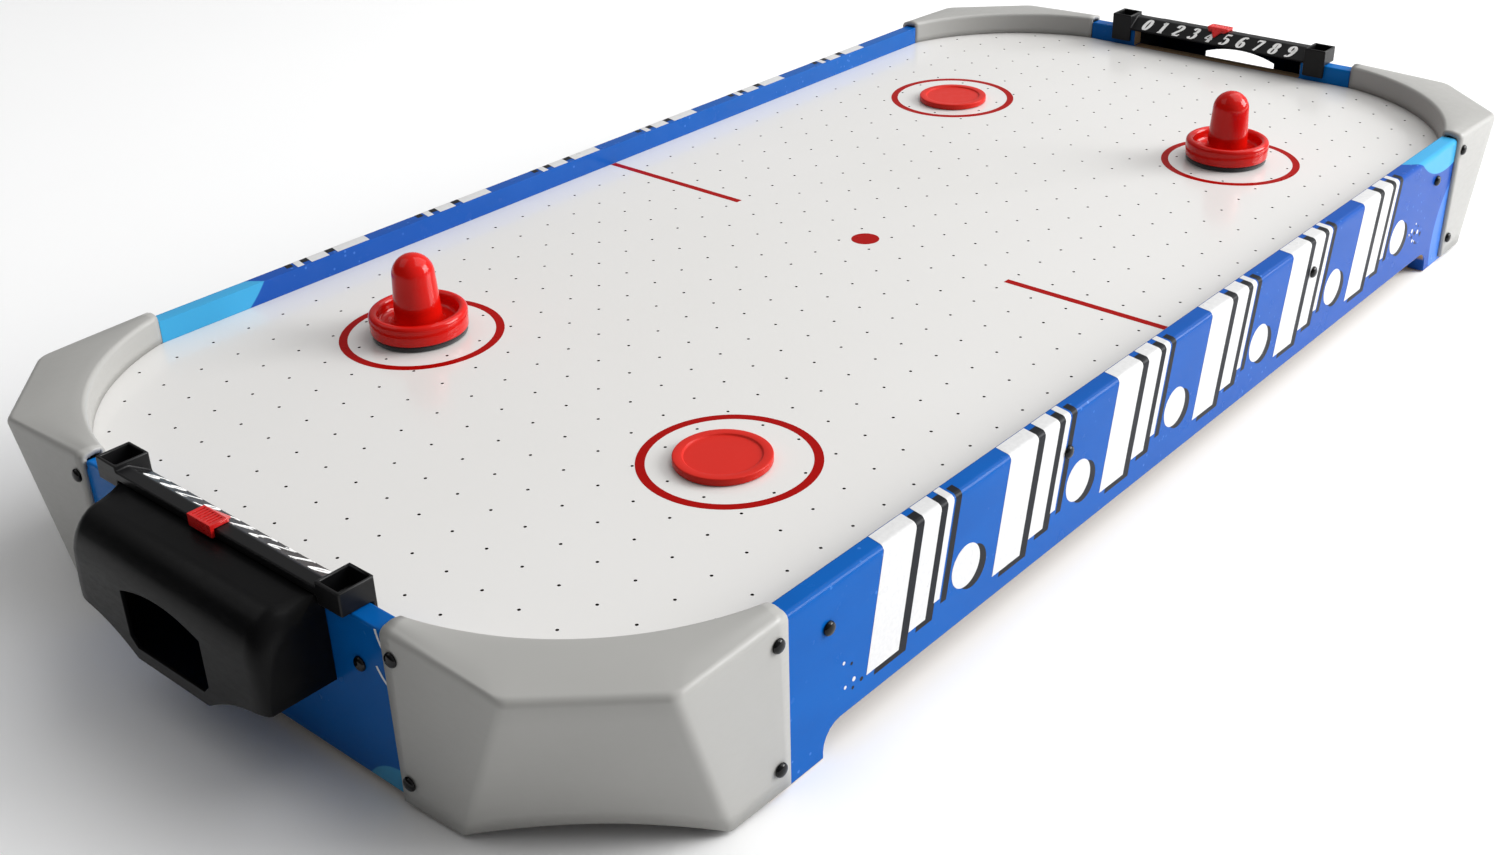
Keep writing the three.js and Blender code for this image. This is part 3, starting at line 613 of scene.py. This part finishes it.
def corner_inner(count):
    """As many points along the wall that the puck rides round, from the end seam to the side seam."""
    cx, cy, radius = CORNER_ARC
    first = math.degrees(math.asin((SEAM_Y - cy) / radius))
    last = math.degrees(math.acos((SEAM_X - cx) / radius))
    path = arc_points(cx, cy, radius, radius, first, last, 96)
    lengths = [0.0]
    for a, b in zip(path, path[1:]):
        lengths.append(lengths[-1] + math.dist(a, b))
    out = []
    for i in range(count):
        want = lengths[-1] * i / (count - 1)
        k = max(j for j in range(len(path)) if lengths[j] <= want + 1e-9)
        k = min(k, len(path) - 2)
        t = (want - lengths[k]) / (lengths[k + 1] - lengths[k])
        out.append(tuple(p + (q - p) * t for p, q in zip(path[k], path[k + 1])))
    return out


def corner_piece():
    """The +X +Y corner: columns of points from the outer wall's foot, over the top, down the inner wall."""
    top_ring = corner_ring(CORNER_TOP)
    count = len(top_ring)
    inner = corner_inner(count)
    run = [0.0]
    for a, b in zip(top_ring, top_ring[1:]):
        run.append(run[-1] + math.dist(a, b))
    at_b = (SLOPE_Y - SEAM_Y) / run[-1]
    at_c = 1 - (SLOPE_X - SEAM_X) / run[-1]
    columns = []
    for i in range(count):
        s = run[i] / run[-1]
        if s < at_b:
            top = CORNER_IN_TOP - (CORNER_IN_TOP - CORNER_TOP) * s / at_b
        elif s > at_c:
            top = CORNER_TOP + (CORNER_IN_TOP - SIDE_DROP - CORNER_TOP) * (s - at_c) / (1 - at_c)
        else:
            top = CORNER_TOP
        middle = min(1.0, max(0.0, (s - at_b) / (at_c - at_b)))
        foot = CORNER_FOOT
        if 0 < middle < 1:
            foot += FOOT_ARCH * math.sin(math.pi * middle) ** 0.8
        foot += FOOT_RISE * (max(0.0, 1 - s / at_b) + max(0.0, 1 - (1 - s) / (1 - at_c)))
        column = []
        wall_top = top - OUTER_FILLET
        for k in range(9):
            z = foot + (wall_top - foot) * k / 8
            x, y = corner_ring(z)[i]
            column.append((x, y, z))
        start = Vector(corner_ring(wall_top)[i])
        end = Vector(inner[i])
        inward = (end - start).normalized()
        for k in range(1, 7):
            a = math.radians(15 * k)
            spot = start + inward * OUTER_FILLET * (1 - math.cos(a))
            column.append((spot.x, spot.y, wall_top + OUTER_FILLET * math.sin(a)))
        near = end - inward * INNER_FILLET
        far = start + inward * OUTER_FILLET
        for k in range(1, 6):
            t = k / 6
            spot = far.lerp(near, t)
            crown = CROWN * math.sin(math.pi * t)
            column.append((spot.x, spot.y, top + (CORNER_IN_TOP - top) * t + crown))
        for k in range(0, 7):
            a = math.radians(15 * k)
            spot = near + inward * INNER_FILLET * math.sin(a)
            column.append((spot.x, spot.y, CORNER_IN_TOP - INNER_FILLET * (1 - math.cos(a))))
        inner_top = CORNER_IN_TOP - INNER_FILLET
        for k in range(1, 4):
            column.append((end.x, end.y, inner_top - (inner_top - PLAY_Z - FOOT_GAP) * k / 3))
        columns.append(column)
    return columns


def corners():
    columns = corner_piece()
    rows = len(columns[0])
    for end, sx in ENDS.items():
        for side, sy in SIDES.items():
            verts = [(sx * x, sy * y, z) for column in columns for x, y, z in column]
            faces = []
            for i in range(len(columns) - 1):
                for k in range(rows - 1):
                    quad = (i * rows + k, (i + 1) * rows + k, (i + 1) * rows + k + 1, i * rows + k + 1)
                    faces.append(quad if sx * sy > 0 else quad[::-1])
            piece = new_piece(f"corner_shell_{end}_{side}", verts, faces, GREY, 50)
            rim = piece.vertex_groups.new(name="seam_rims")
            last = (len(columns) - 1) * rows
            rim.add([*range(rows), *range(last, last + rows)], 1.0, "REPLACE")
            wall = piece.modifiers.new("wall", "SOLIDIFY")
            wall.thickness = SEAM_RIM * MM
            wall.vertex_group = rim.name
            wall.thickness_vertex_group = CORNER_WALL / SEAM_RIM
            wall.offset = -1
            wall.use_even_offset = False
            settle(piece, "table", "corner_plastic", f"corner_{end}_{side}")


# ---- aprons and their print ----------------------------------------------------------------
EDGE_R = 3.0
EDGE_CUTS = 6


def aprons():
    for side, sy in SIDES.items():
        film = long_film(f"film_{side}", -sy)
        piece = detailed(f"apron_{side}", film, 0.7, 2, 50)
        settle(piece, "table", "apron_film", f"apron_{side}")
    for end, sx in ENDS.items():
        piece = detailed(f"apron_{end}", end_film(f"film_{end}", sx), 1.2, 3, 50)
        settle(piece, "table", "apron_film", f"apron_{end}")


def wrapped(sy, x, u, lift):
    """The spot on a long apron's film: u runs up its outer face, round the edge and over the top."""
    flat = APRON_TOP - EDGE_R
    quarter = EDGE_R * math.pi / 2
    if u <= flat:
        return (x, sy * (APRON_OUT + lift), u)
    if u < flat + quarter:
        a = (u - flat) / EDGE_R
        reach = EDGE_R + lift
        return (x, sy * (APRON_OUT - EDGE_R + reach * math.cos(a)), flat + reach * math.sin(a))
    over = u - flat - quarter
    return (x, sy * (APRON_OUT - EDGE_R - over), APRON_TOP + lift)


INNER_MARGIN = 0.9            # bare film at the inner edge of an apron's top
TOP_U = APRON_TOP - EDGE_R + EDGE_R * math.pi / 2 + (APRON_OUT - APRON_IN - EDGE_R) - INNER_MARGIN
LEAN = 0.2


def bar(x, low, width):
    """A leaning bar that runs from the face up over the top edge."""
    shift = LEAN * (TOP_U - low)
    return [(x, low), (x + width, low), (x + width + shift, TOP_U), (x + shift, TOP_U)]


def sprinkle(rng, x0, x1, u0, u1, count):
    """Small round splashes."""
    return [disc(rng.uniform(x0, x1), rng.uniform(u0, u1), rng.uniform(0.7, 1.7), 12) for _ in range(count)]


MOTIF_PITCH = 108.0
MOTIFS = 6
MOTIF_BARS = [(0.0, 26.0, 30.0), (34.0, 14.0, 36.0), (55.0, 5.0, 42.0)]    # offset, width and foot
MOTIF_DISC = (83.0, 50.0, 12.5)       # offset, height and radius
MOTIF_START = -MOTIF_PITCH * MOTIFS / 2 - 4
SPLASHES = [(316, 348, 34, 52, 7), (-346, -336, 30, 50, 3)]     # two spans, and how many
END_STROKES = [(116, 96.5, 120, 87, -1.5), (113, 75, 120, 67, -1)]     # two ends and the sag
STROKE_W = 1.5
SHADOW_SHIFT = (6.0, -3.5)
SHADOW_T = 0.06
SHAPE_T = 0.12


def film_shapes():
    """White shapes of the print: sets of bars that thin out, each led by a puck-like disc."""
    rng = random.Random(7)
    shapes = []
    for i in range(MOTIFS):
        x = MOTIF_START + MOTIF_PITCH * i
        shapes += [bar(x + dx, low, width) for dx, width, low in MOTIF_BARS]
        shapes.append(disc(x + MOTIF_DISC[0], MOTIF_DISC[1], MOTIF_DISC[2]))
    for patch in SPLASHES:
        shapes += sprinkle(rng, *patch)
    return shapes


def wrap_piece(name, shapes, sy, lift, material):
    """Thin film shapes that follow a long apron's face and rounded edge."""
    work = bmesh.new()
    for outline in shapes:
        work.faces.new([work.verts.new((px, pu, 0)) for px, pu in outline])
    bmesh.ops.triangulate(work, faces=work.faces)
    flat = APRON_TOP - EDGE_R
    for i in range(EDGE_CUTS + 1):
        cut = flat + EDGE_R * math.pi / 2 * i / EDGE_CUTS
        geometry = list(work.verts) + list(work.edges) + list(work.faces)
        bmesh.ops.bisect_plane(work, geom=geometry, dist=1e-5, plane_co=(0, cut, 0), plane_no=(0, 1, 0))
    top = bmesh.ops.extrude_face_region(work, geom=list(work.faces))
    raised = {v for v in top["geom"] if isinstance(v, bmesh.types.BMVert)}
    spots = {v: wrapped(sy, v.co.x, min(v.co.y, TOP_U), lift if v in raised else -SUNK) for v in work.verts}
    for v, spot in spots.items():
        v.co = Vector(spot) * MM
    bmesh.ops.recalc_face_normals(work, faces=work.faces)
    mesh = bpy.data.meshes.new(name)
    work.to_mesh(mesh)
    work.free()
    settle(link_piece(name, mesh, material, 30), "table", "apron_film")


def stroke(points, width):
    """A ribbon along a list of points."""
    left, right = [], []
    for i, point in enumerate(points):
        a = Vector(points[max(0, i - 1)])
        b = Vector(points[min(len(points) - 1, i + 1)])
        t = (b - a).normalized()
        n = Vector((-t.y, t.x)) * width / 2
        left.append(tuple(Vector(point) + n))
        right.append(tuple(Vector(point) - n))
    return right + left[::-1]


def curve(x0, u0, x1, u1, sag, steps=14):
    points = []
    for i in range(steps + 1):
        t = i / steps
        points.append((x0 + (x1 - x0) * t, u0 + (u1 - u0) * t + sag * 4 * t * (1 - t)))
    return points


def film_print():
    for side, sy in SIDES.items():
        turn = -sy
        shapes = [[(turn * x, u) for x, u in outline] for outline in film_shapes()]
        dx, du = SHADOW_SHIFT
        shadows = [[(turn * (x + dx), u + du) for x, u in outline] for outline in film_shapes()]
        wrap_piece(f"film_shadows_{side}", shadows, sy, SHADOW_T, PRINT_BLACK)
        wrap_piece(f"film_shapes_{side}", shapes, sy, SHAPE_T, PRINT_WHITE)
    for end, sx in ENDS.items():
        strokes = [stroke(curve(*ends), STROKE_W) for ends in END_STROKES]
        verts, faces = slab(strokes, -SUNK, SHAPE_T, lambda u, v, w: (sx * (END_OUT + w), sx * u, v))
        settle(new_piece(f"film_strokes_{end}", verts, faces, PRINT_WHITE), "table", "apron_film")


# ---- score bars, goal boxes ----------------------------------------------------------------
DIGIT_H = 12.3
DIGIT_PITCH = 15.0
STRIP_LOW = (BAR_IN, PLAY_Z + 15.6)   # the slanted strip that carries the digits, as (x, z)
STRIP_HIGH = (504.4, PLAY_Z + 24.0)
DIGIT_SLANT = 0.22
DIGIT_T = 0.16
THICK = 0.25                  # pen widths, in digit heights
THIN = 0.085


def smooth_line(points, steps=7, closed=False):
    """A Catmull-Rom line through the points."""
    count = len(points)
    out = []
    spans = count if closed else count - 1
    for i in range(spans):
        picks = [(i + k) % count if closed else min(count - 1, max(0, i + k)) for k in (-1, 0, 1, 2)]
        p0, p1, p2, p3 = (Vector(points[k]) for k in picks)
        for j in range(steps):
            t = j / steps
            out.append(0.5 * (2 * p1 + (p2 - p0) * t + (2 * p0 - 5 * p1 + 4 * p2 - p3) * t * t
                              + (3 * p1 - p0 - 3 * p2 + p3) * t ** 3))
    if not closed:
        out.append(Vector(points[-1]))
    return out


def pen(points, closed=False, thick=THICK, thin=THIN):
    """Quads of a broad-nib stroke: thick where it runs upright, thin where it runs level."""
    quads = []
    count = len(points)
    edges = []
    for i in range(count):
        before = points[(i - 1) % count] if closed else points[max(0, i - 1)]
        after = points[(i + 1) % count] if closed else points[min(count - 1, i + 1)]
        t = (after - before).normalized()
        width = thin + (thick - thin) * abs(t.y) ** 1.6
        n = Vector((-t.y, t.x)) * width / 2
        edges.append((points[i] - n, points[i] + n))
    for i in range(count if closed else count - 1):
        j = (i + 1) % count
        quads.append([edges[i][0], edges[j][0], edges[j][1], edges[i][1]])
    return quads


def straight(*points, **widths):
    return pen([Vector(p) for p in points], **widths)


def ellipse(cx, cy, rx, ry):
    return pen([Vector(p) for p in arc_points(cx, cy, rx, ry, 0, 350, 35)], closed=True)


def bent(*points, **widths):
    return pen(smooth_line(points), **widths)


def digit_quads(value):
    """The strokes of one digit in a box 0.6 wide and 1 high."""
    six = [(0.50, 0.88), (0.38, 0.96), (0.21, 0.84), (0.12, 0.55), (0.13, 0.24), (0.30, 0.045),
           (0.47, 0.15), (0.49, 0.36), (0.37, 0.53), (0.22, 0.48), (0.14, 0.34)]
    if value == 0:
        return ellipse(0.3, 0.5, 0.19, 0.45)
    if value == 1:
        return (straight((0.32, 0.03), (0.32, 0.97)) + straight((0.14, 0.80), (0.30, 0.95))
                + straight((0.14, 0.035), (0.50, 0.035)))
    if value == 2:
        return (bent((0.12, 0.72), (0.16, 0.90), (0.33, 0.96), (0.48, 0.84), (0.45, 0.62), (0.27, 0.36),
                     (0.09, 0.08))
                + straight((0.08, 0.06), (0.54, 0.06), thin=0.13)
                + straight((0.52, 0.06), (0.54, 0.20), thick=0.09))
    if value == 3:
        return (bent((0.12, 0.80), (0.24, 0.95), (0.40, 0.93), (0.46, 0.75), (0.38, 0.58), (0.24, 0.52))
                + bent((0.24, 0.52), (0.43, 0.47), (0.50, 0.27), (0.38, 0.07), (0.20, 0.04), (0.09, 0.17)))
    if value == 4:
        return (straight((0.42, 0.03), (0.42, 0.97)) + straight((0.40, 0.95), (0.06, 0.30), thick=0.10)
                + straight((0.05, 0.29), (0.60, 0.29)) + straight((0.28, 0.035), (0.56, 0.035)))
    if value == 5:
        return (straight((0.15, 0.92), (0.52, 0.92), thin=0.14)
                + straight((0.16, 0.92), (0.13, 0.52), thick=0.09)
                + bent((0.13, 0.52), (0.28, 0.60), (0.45, 0.50), (0.48, 0.26), (0.35, 0.06), (0.18, 0.05),
                       (0.09, 0.16)))
    if value == 6:
        return bent(*six)
    if value == 7:
        return (straight((0.10, 0.92), (0.56, 0.92), thin=0.14)
                + straight((0.53, 0.92), (0.24, 0.03), thick=0.20)
                + straight((0.11, 0.92), (0.10, 0.76), thick=0.08))
    if value == 8:
        return ellipse(0.31, 0.74, 0.15, 0.21) + ellipse(0.29, 0.28, 0.19, 0.24)
    return bent(*[(0.6 - x, 1 - y) for x, y in six])


def digits(end, sx):
    """White raised numbers along one score bar, read from the playfield."""
    low, high = Vector(STRIP_LOW), Vector(STRIP_HIGH)
    rise = (high - low).normalized()
    middle = (low + high) / 2
    outward = Vector((-rise.y, rise.x))
    verts = []
    faces = []
    for value in range(10):
        centre = (4.5 - value) * DIGIT_PITCH
        for quad in digit_quads(value):
            start = len(verts)
            for lift in (-SUNK, DIGIT_T):
                for point in quad:
                    right = (point.x - 0.3 + DIGIT_SLANT * (point.y - 0.5)) * DIGIT_H
                    spot = middle + rise * (point.y - 0.5) * DIGIT_H + outward * lift
                    verts.append((sx * spot.x, sx * (centre - right), spot.y))
            faces.append((start + 4, start + 5, start + 6, start + 7))
            faces.append((start + 3, start + 2, start + 1, start))
            for i in range(4):
                j = (i + 1) % 4
                faces.append((start + i, start + j, start + 4 + j, start + 4 + i))
    settle(new_piece(f"digits_{end}", verts, faces, DIGIT_WHITE), "table", "black_plastic")


END_ROUND = 11.0
END_CUTS = 6
EDGE_ROUND = 0.8
BOX_FOOT = 512.0              # the score bar stands on the box behind this plane
BOX_BEND = 15.0
BOX_WAIST = 60.0
BOX_TAPER = 0.35              # how much of the front rounds is left below the waist
BOX_STEP = 8.0


def share(value, low, high):
    return min(1.0, max(0.0, (value - low) / (high - low)))


def round_ends(goal, node):
    """Large rounds where a goal box's front and top meet its two ends, and small ones elsewhere."""
    half = box_mm(node)[1][1]
    front = max(abs(v.co.x) for v in goal.data.vertices) / MM
    top = box_mm(node)[1][2]
    work = bmesh.new()
    work.from_mesh(goal.data)
    turns = [math.radians(90 * k / END_CUTS) for k in range(END_CUTS)]
    cuts = [((0, sign * (half - END_ROUND + END_ROUND * math.sin(t)) * MM, 0), (0, 1, 0))
            for t in turns for sign in (-1, 1)]
    cuts += [((sign * BOX_FOOT * MM, 0, 0), (1, 0, 0)) for sign in (-1, 1)]
    cuts += [((0, 0, (BOX_WAIST + BOX_STEP * k) * MM), (0, 0, 1)) for k in range(5)]
    for spot, normal in cuts:
        everything = work.verts[:] + work.edges[:] + work.faces[:]
        bmesh.ops.bisect_plane(work, geom=everything, dist=1e-6, plane_co=spot, plane_no=normal)
    for vert in work.verts:
        x, y, z = (abs(vert.co.x) / MM, abs(vert.co.y) / MM, vert.co.z / MM)
        reach = share(y, half - END_ROUND, half)
        inset = END_ROUND * (1 - math.sqrt(1 - reach * reach))
        taper = BOX_TAPER + (1 - BOX_TAPER) * share(z, BOX_WAIST, top)
        vert.co.x -= math.copysign(inset * taper * share(x, BOX_FOOT, front) * MM, vert.co.x)
        vert.co.z -= inset * share(x, BOX_FOOT, BOX_FOOT + BOX_BEND) * share(z, BOX_WAIST, top) * MM
    bmesh.ops.recalc_face_normals(work, faces=work.faces)
    work.to_mesh(goal.data)
    work.free()
    goal.data.shade_smooth()
    goal.data.set_sharp_from_angle(angle=math.radians(38))
    goal.modifiers.clear()
    bevel(goal, EDGE_ROUND, 2, 50)


def end_fittings():
    for end, sx in ENDS.items():
        goal = detailed(f"goal_box_{end}", BLACK, 0.7, 2, 40)
        round_ends(goal, f"goal_box_{end}")
        settle(goal, "table", "black_plastic", f"goal_box_{end}")
        bar_piece = detailed(f"score_frame_{end}", FRAME_BLACK, 0.8, 3, 30)
        settle(bar_piece, "table", "black_plastic", f"score_frame_{end}")
        slider = detailed(f"score_slider_{end}", SLIDER_RED, 0.25, 2, 30)
        settle(slider, f"slider_{end}", "red_plastic", f"score_slider_{end}")
        digits(end, sx)


# ---- pushers, pucks ------------------------------------------------------------------------


def centre_of(node):
    low, high = box_mm(node)
    return (low[0] + high[0]) / 2, (low[1] + high[1]) / 2, low[2], high[2], (high[0] - low[0]) / 2


def pusher_profile(radius, low, high):
    """From the axis at the underside, out and round the cup's rim, down into it and up the handle."""
    rim, rim_r = 16.6, 2.9            # height and round of the cup's rim
    knob, foot = 13.0, 14.6           # radii of the handle at its dome and at its foot
    floor = 8.0                       # inside the cup
    dome = high - knob
    profile = [(0, low), (radius - 1.6, low)]
    profile += arc_points(radius - 1.6, low + 1.4, 1.4, 1.4, -80, 0, 4)
    profile.append((radius, rim - rim_r - 1))
    profile += arc_points(radius - rim_r, rim - rim_r, rim_r, rim_r, 0, 180, 14)
    profile += arc_points(radius - 2 * rim_r - 3.2, floor + 3.2, 3.2, 3.2, 0, -90, 6)
    profile += arc_points(foot + 3.5, floor + 3.5, 3.5, 3.5, -90, -180, 6)
    profile += [(foot + (knob - foot) * t, floor + 3.5 + (dome - floor - 3.5) * t)
                for t in (0.25, 0.5, 0.75)]
    profile += arc_points(0, dome, knob, knob, 0, 86, 16)
    return profile + [(0, high)]


def game_pieces():
    for end in ENDS:
        x, y, low, high, radius = centre_of(f"pusher_{end}")
        profile = pusher_profile(radius - 0.02, low - PLAY_Z, high - PLAY_Z)
        pusher = turned(f"pusher_body_{end}", profile, 96, RED, (x, y, PLAY_Z), 50)
        settle(pusher, f"pusher_{end}", "red_plastic", f"pusher_{end}")
        x, y, low, high, radius = centre_of(f"pusher_felt_{end}")
        base, lid = low - PLAY_Z, high - PLAY_Z
        edge = radius - 0.8
        ring = [(0, base), (edge, base), *arc_points(edge, base + 0.8, 0.75, 0.8, -70, 0, 3),
                *arc_points(edge, lid - 0.8, 0.75, 0.8, 0, 80, 3), (edge, lid), (0, lid)]
        pad = turned(f"felt_pad_{end}", ring, 96, FELT, (x, y, PLAY_Z))
        settle(pad, f"pusher_{end}", "felt", f"pusher_felt_{end}")
        x, y, low, high, radius = centre_of(f"puck_{end}")
        disc_piece = puck(end, x, y, low - PLAY_Z, high - PLAY_Z, radius)
        settle(disc_piece, f"puck_{end}", "puck_plastic", f"puck_{end}")


def puck(end, x, y, low, high, radius):
    recess_r = 21.7
    deep = 0.9
    soft = 0.7
    wall = radius - soft - 0.02
    under = [(0, low + deep), (recess_r - 0.9, low + deep), (recess_r - 0.4, low + 0.5), (recess_r, low)]
    side = [*arc_points(wall, low + soft, soft, soft, -90, 0, 4),
            *arc_points(wall, high - soft, soft, soft, 0, 90, 4)]
    top = [(recess_r + 0.3, high), (recess_r, high - 0.1), (recess_r - 0.4, high - 0.6),
           (recess_r - 0.9, high - deep), (0, high - deep)]
    return turned(f"puck_disc_{end}", under + side + top, 96, PUCK_RED, (x, y, PLAY_Z), 30)


# ---- screw caps ----------------------------------------------------------------------------
CAP_R = 3.9
CAP_H = 2.7
CAP_SUNK = 0.3
END_CAP_Y, END_CAP_Z = 101.0, PLAY_Z - 12     # screws of the end aprons


def cap_mesh():
    profile = [(0, 0.02), (CAP_R - 0.5, 0.02), (CAP_R - 0.1, 0.25), (CAP_R, 0.7), (CAP_R - 0.15, 1.0)]
    profile += arc_points(0, 1.0, CAP_R - 0.2, CAP_H - 1.0, 8, 82, 8) + [(0, CAP_H)]
    shape = turned("cap_pattern", profile, 28, CAP_BLACK)
    mesh = shape.data
    bpy.data.objects.remove(shape)
    return mesh


def screw_cap(name, mesh, spot_mm, outward):
    cap = bpy.data.objects.new(name, mesh)
    bpy.context.scene.collection.objects.link(cap)
    cap.location = Vector(spot_mm) * MM
    cap.rotation_mode = "QUATERNION"
    cap.rotation_quaternion = Vector(outward).to_track_quat("Z", "Y")
    return cap


def screw_caps():
    mesh = cap_mesh()
    for node in [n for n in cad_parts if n.startswith("screw_")]:
        low, high = box_mm(node)
        middle = [(a + b) / 2 for a, b in zip(low, high)]
        sizes = [b - a for a, b in zip(low, high)]
        axis = sizes.index(min(sizes))
        sign = 1 if middle[axis] > 0 else -1
        outward = [0, 0, 0]
        outward[axis] = sign
        spot = list(middle)
        spot[axis] = (low if sign > 0 else high)[axis] - sign * CAP_SUNK
        settle(screw_cap(f"{node}_cap", mesh, spot, outward), "table", "screw_black", node)
    for end, sx in ENDS.items():
        for side, sy in SIDES.items():
            spot = (sx * END_OUT, sy * END_CAP_Y, END_CAP_Z)
            cap = screw_cap(f"screw_end_apron_{end}_{side}", mesh, spot, (sx, 0, 0))
            settle(cap, "table", "screw_black")


# ---- underside: battens, blower, power ------------------------------------------------------


def inner_works():
    for node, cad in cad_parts.items():
        if "batten" in node:
            repaint(cad.data, FIBRE)
    for node, material in (("base_panel", HARD), ("fan_motor", METAL), ("supply_lead", LEAD_BLACK)):
        repaint(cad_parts[node].data, material)
    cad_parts["supply_lead"].data.shade_smooth()
    for node, soft, body, slot in (
        ("fan_housing", 0.8, "table", "black_plastic"), ("fan_grille", 0.3, "table", "black_plastic"),
        ("impeller", 0.25, "impeller", "black_plastic"), ("switch_bezel", 0.5, "table", "black_plastic"),
        ("rocker_switch", 0.4, "rocker", "black_plastic"), ("dc_inlet", 0.3, "table", "black_plastic"),
    ):
        settle(detailed(node, FRAME_BLACK, soft, 2, 35), body, slot, node)


# ---- stage, light, camera ------------------------------------------------------------------


FLOOR_SIZE = 9.0              # in metres
FLOOR_STEPS = 24
FLOOR_Z = -0.4                # in millimetres, just under the feet


def stage():
    size, steps = FLOOR_SIZE, FLOOR_STEPS
    verts = []
    faces = []
    for i in range(steps + 1):
        for j in range(steps + 1):
            verts.append(((i / steps - 0.5) * size / MM, (j / steps - 0.5) * size / MM, FLOOR_Z))
    for i in range(steps):
        for j in range(steps):
            a = i * (steps + 1) + j
            faces.append((a, a + steps + 1, a + steps + 2, a + 1))
    paint = Paint("floor_white")
    tone = paint.ramp(paint.noise(3, 3), [(0.3, (0.955, 0.955, 0.955)), (0.7, (0.965, 0.965, 0.965))])
    paint.set(Base_Color=tone, Roughness=0.75)
    new_piece("floor", verts, faces, paint.material)


def light(name, size, power, at, target=(0, 0, 0.05)):
    data = bpy.data.lights.new(name, "AREA")
    data.shape = "RECTANGLE"
    data.size, data.size_y = size
    data.energy = power
    lamp = bpy.data.objects.new(name, data)
    bpy.context.scene.collection.objects.link(lamp)
    lamp.location = at
    lamp.rotation_mode = "QUATERNION"
    lamp.rotation_quaternion = (Vector(target) - Vector(at)).to_track_quat("-Z", "Y")


SKY_DIM = 0.06
SKY_BRIGHT = 0.62
SKY_WAY = (0.80, -0.45, 0.40)


def sky():
    """Soft surround that is brighter on the side that the key light comes from."""
    world = bpy.data.worlds.new("studio")
    bpy.context.scene.world = world
    world.use_nodes = True
    tree = world.node_tree
    way = tree.nodes.new("ShaderNodeTexCoord")
    dot = tree.nodes.new("ShaderNodeVectorMath")
    dot.operation = "DOT_PRODUCT"
    dot.inputs[1].default_value = Vector(SKY_WAY).normalized()
    tree.links.new(way.outputs["Generated"], dot.inputs[0])
    level = tree.nodes.new("ShaderNodeMapRange")
    level.inputs["From Min"].default_value = -0.6
    level.inputs["To Min"].default_value = SKY_DIM
    level.inputs["To Max"].default_value = SKY_BRIGHT
    tree.links.new(dot.outputs["Value"], level.inputs["Value"])
    shade_node = tree.nodes["Background"]
    shade_node.inputs["Color"].default_value = (1, 1, 1, 1)
    tree.links.new(level.outputs["Result"], shade_node.inputs["Strength"])


def lights():
    sky()
    light("key", (2.6, 2.2), 212, (2.9, -3.0, 1.8), (0.1, 0, 0.05))
    light("overhead", (3.4, 3.0), 60, (1.5, -0.75, 2.5))
    light("fill", (2.2, 2.2), 11, (-1.3, 1.9, 2.3), (-1.3, 1.9, 0))


CAM_TURN = math.radians(-48.97)
CAM_RISE = math.radians(28.77)
CAM_ROLL = math.radians(-1.42)
CAM_AT = Vector((-866.3, -659.3, 458.0 + PLAY_Z)) * MM
CAM_LENS = 41.616             # in millimetres, with a film 36 mm wide
CAM_FILM = 36.0
CAM_SHIFT = (-0.0095333, -0.0044667)


def camera():
    data = bpy.data.cameras.new("view")
    data.sensor_width = CAM_FILM
    data.lens = CAM_LENS
    data.shift_x, data.shift_y = CAM_SHIFT
    data.clip_start, data.clip_end = 0.05, 50
    eye = bpy.data.objects.new("view", data)
    bpy.context.scene.collection.objects.link(eye)
    back = Vector((math.sin(CAM_TURN) * math.cos(CAM_RISE), -math.cos(CAM_TURN) * math.cos(CAM_RISE),
                   math.sin(CAM_RISE)))
    right = (-back).cross(Vector((0, 0, 1))).normalized()
    up = right.cross(-back)
    c, s = math.cos(CAM_ROLL), math.sin(CAM_ROLL)
    level, upright = right * c + up * s, up * c - right * s
    eye.matrix_world = Matrix.Translation(CAM_AT) @ Matrix((level, upright, back)).transposed().to_4x4()
    bpy.context.scene.camera = eye
    bpy.context.scene.view_settings.view_transform = "Standard"


camera()
lights()
stage()
playfield()
playfield_print()
corners()
aprons()
film_print()
end_fittings()
game_pieces()
screw_caps()
inner_works()
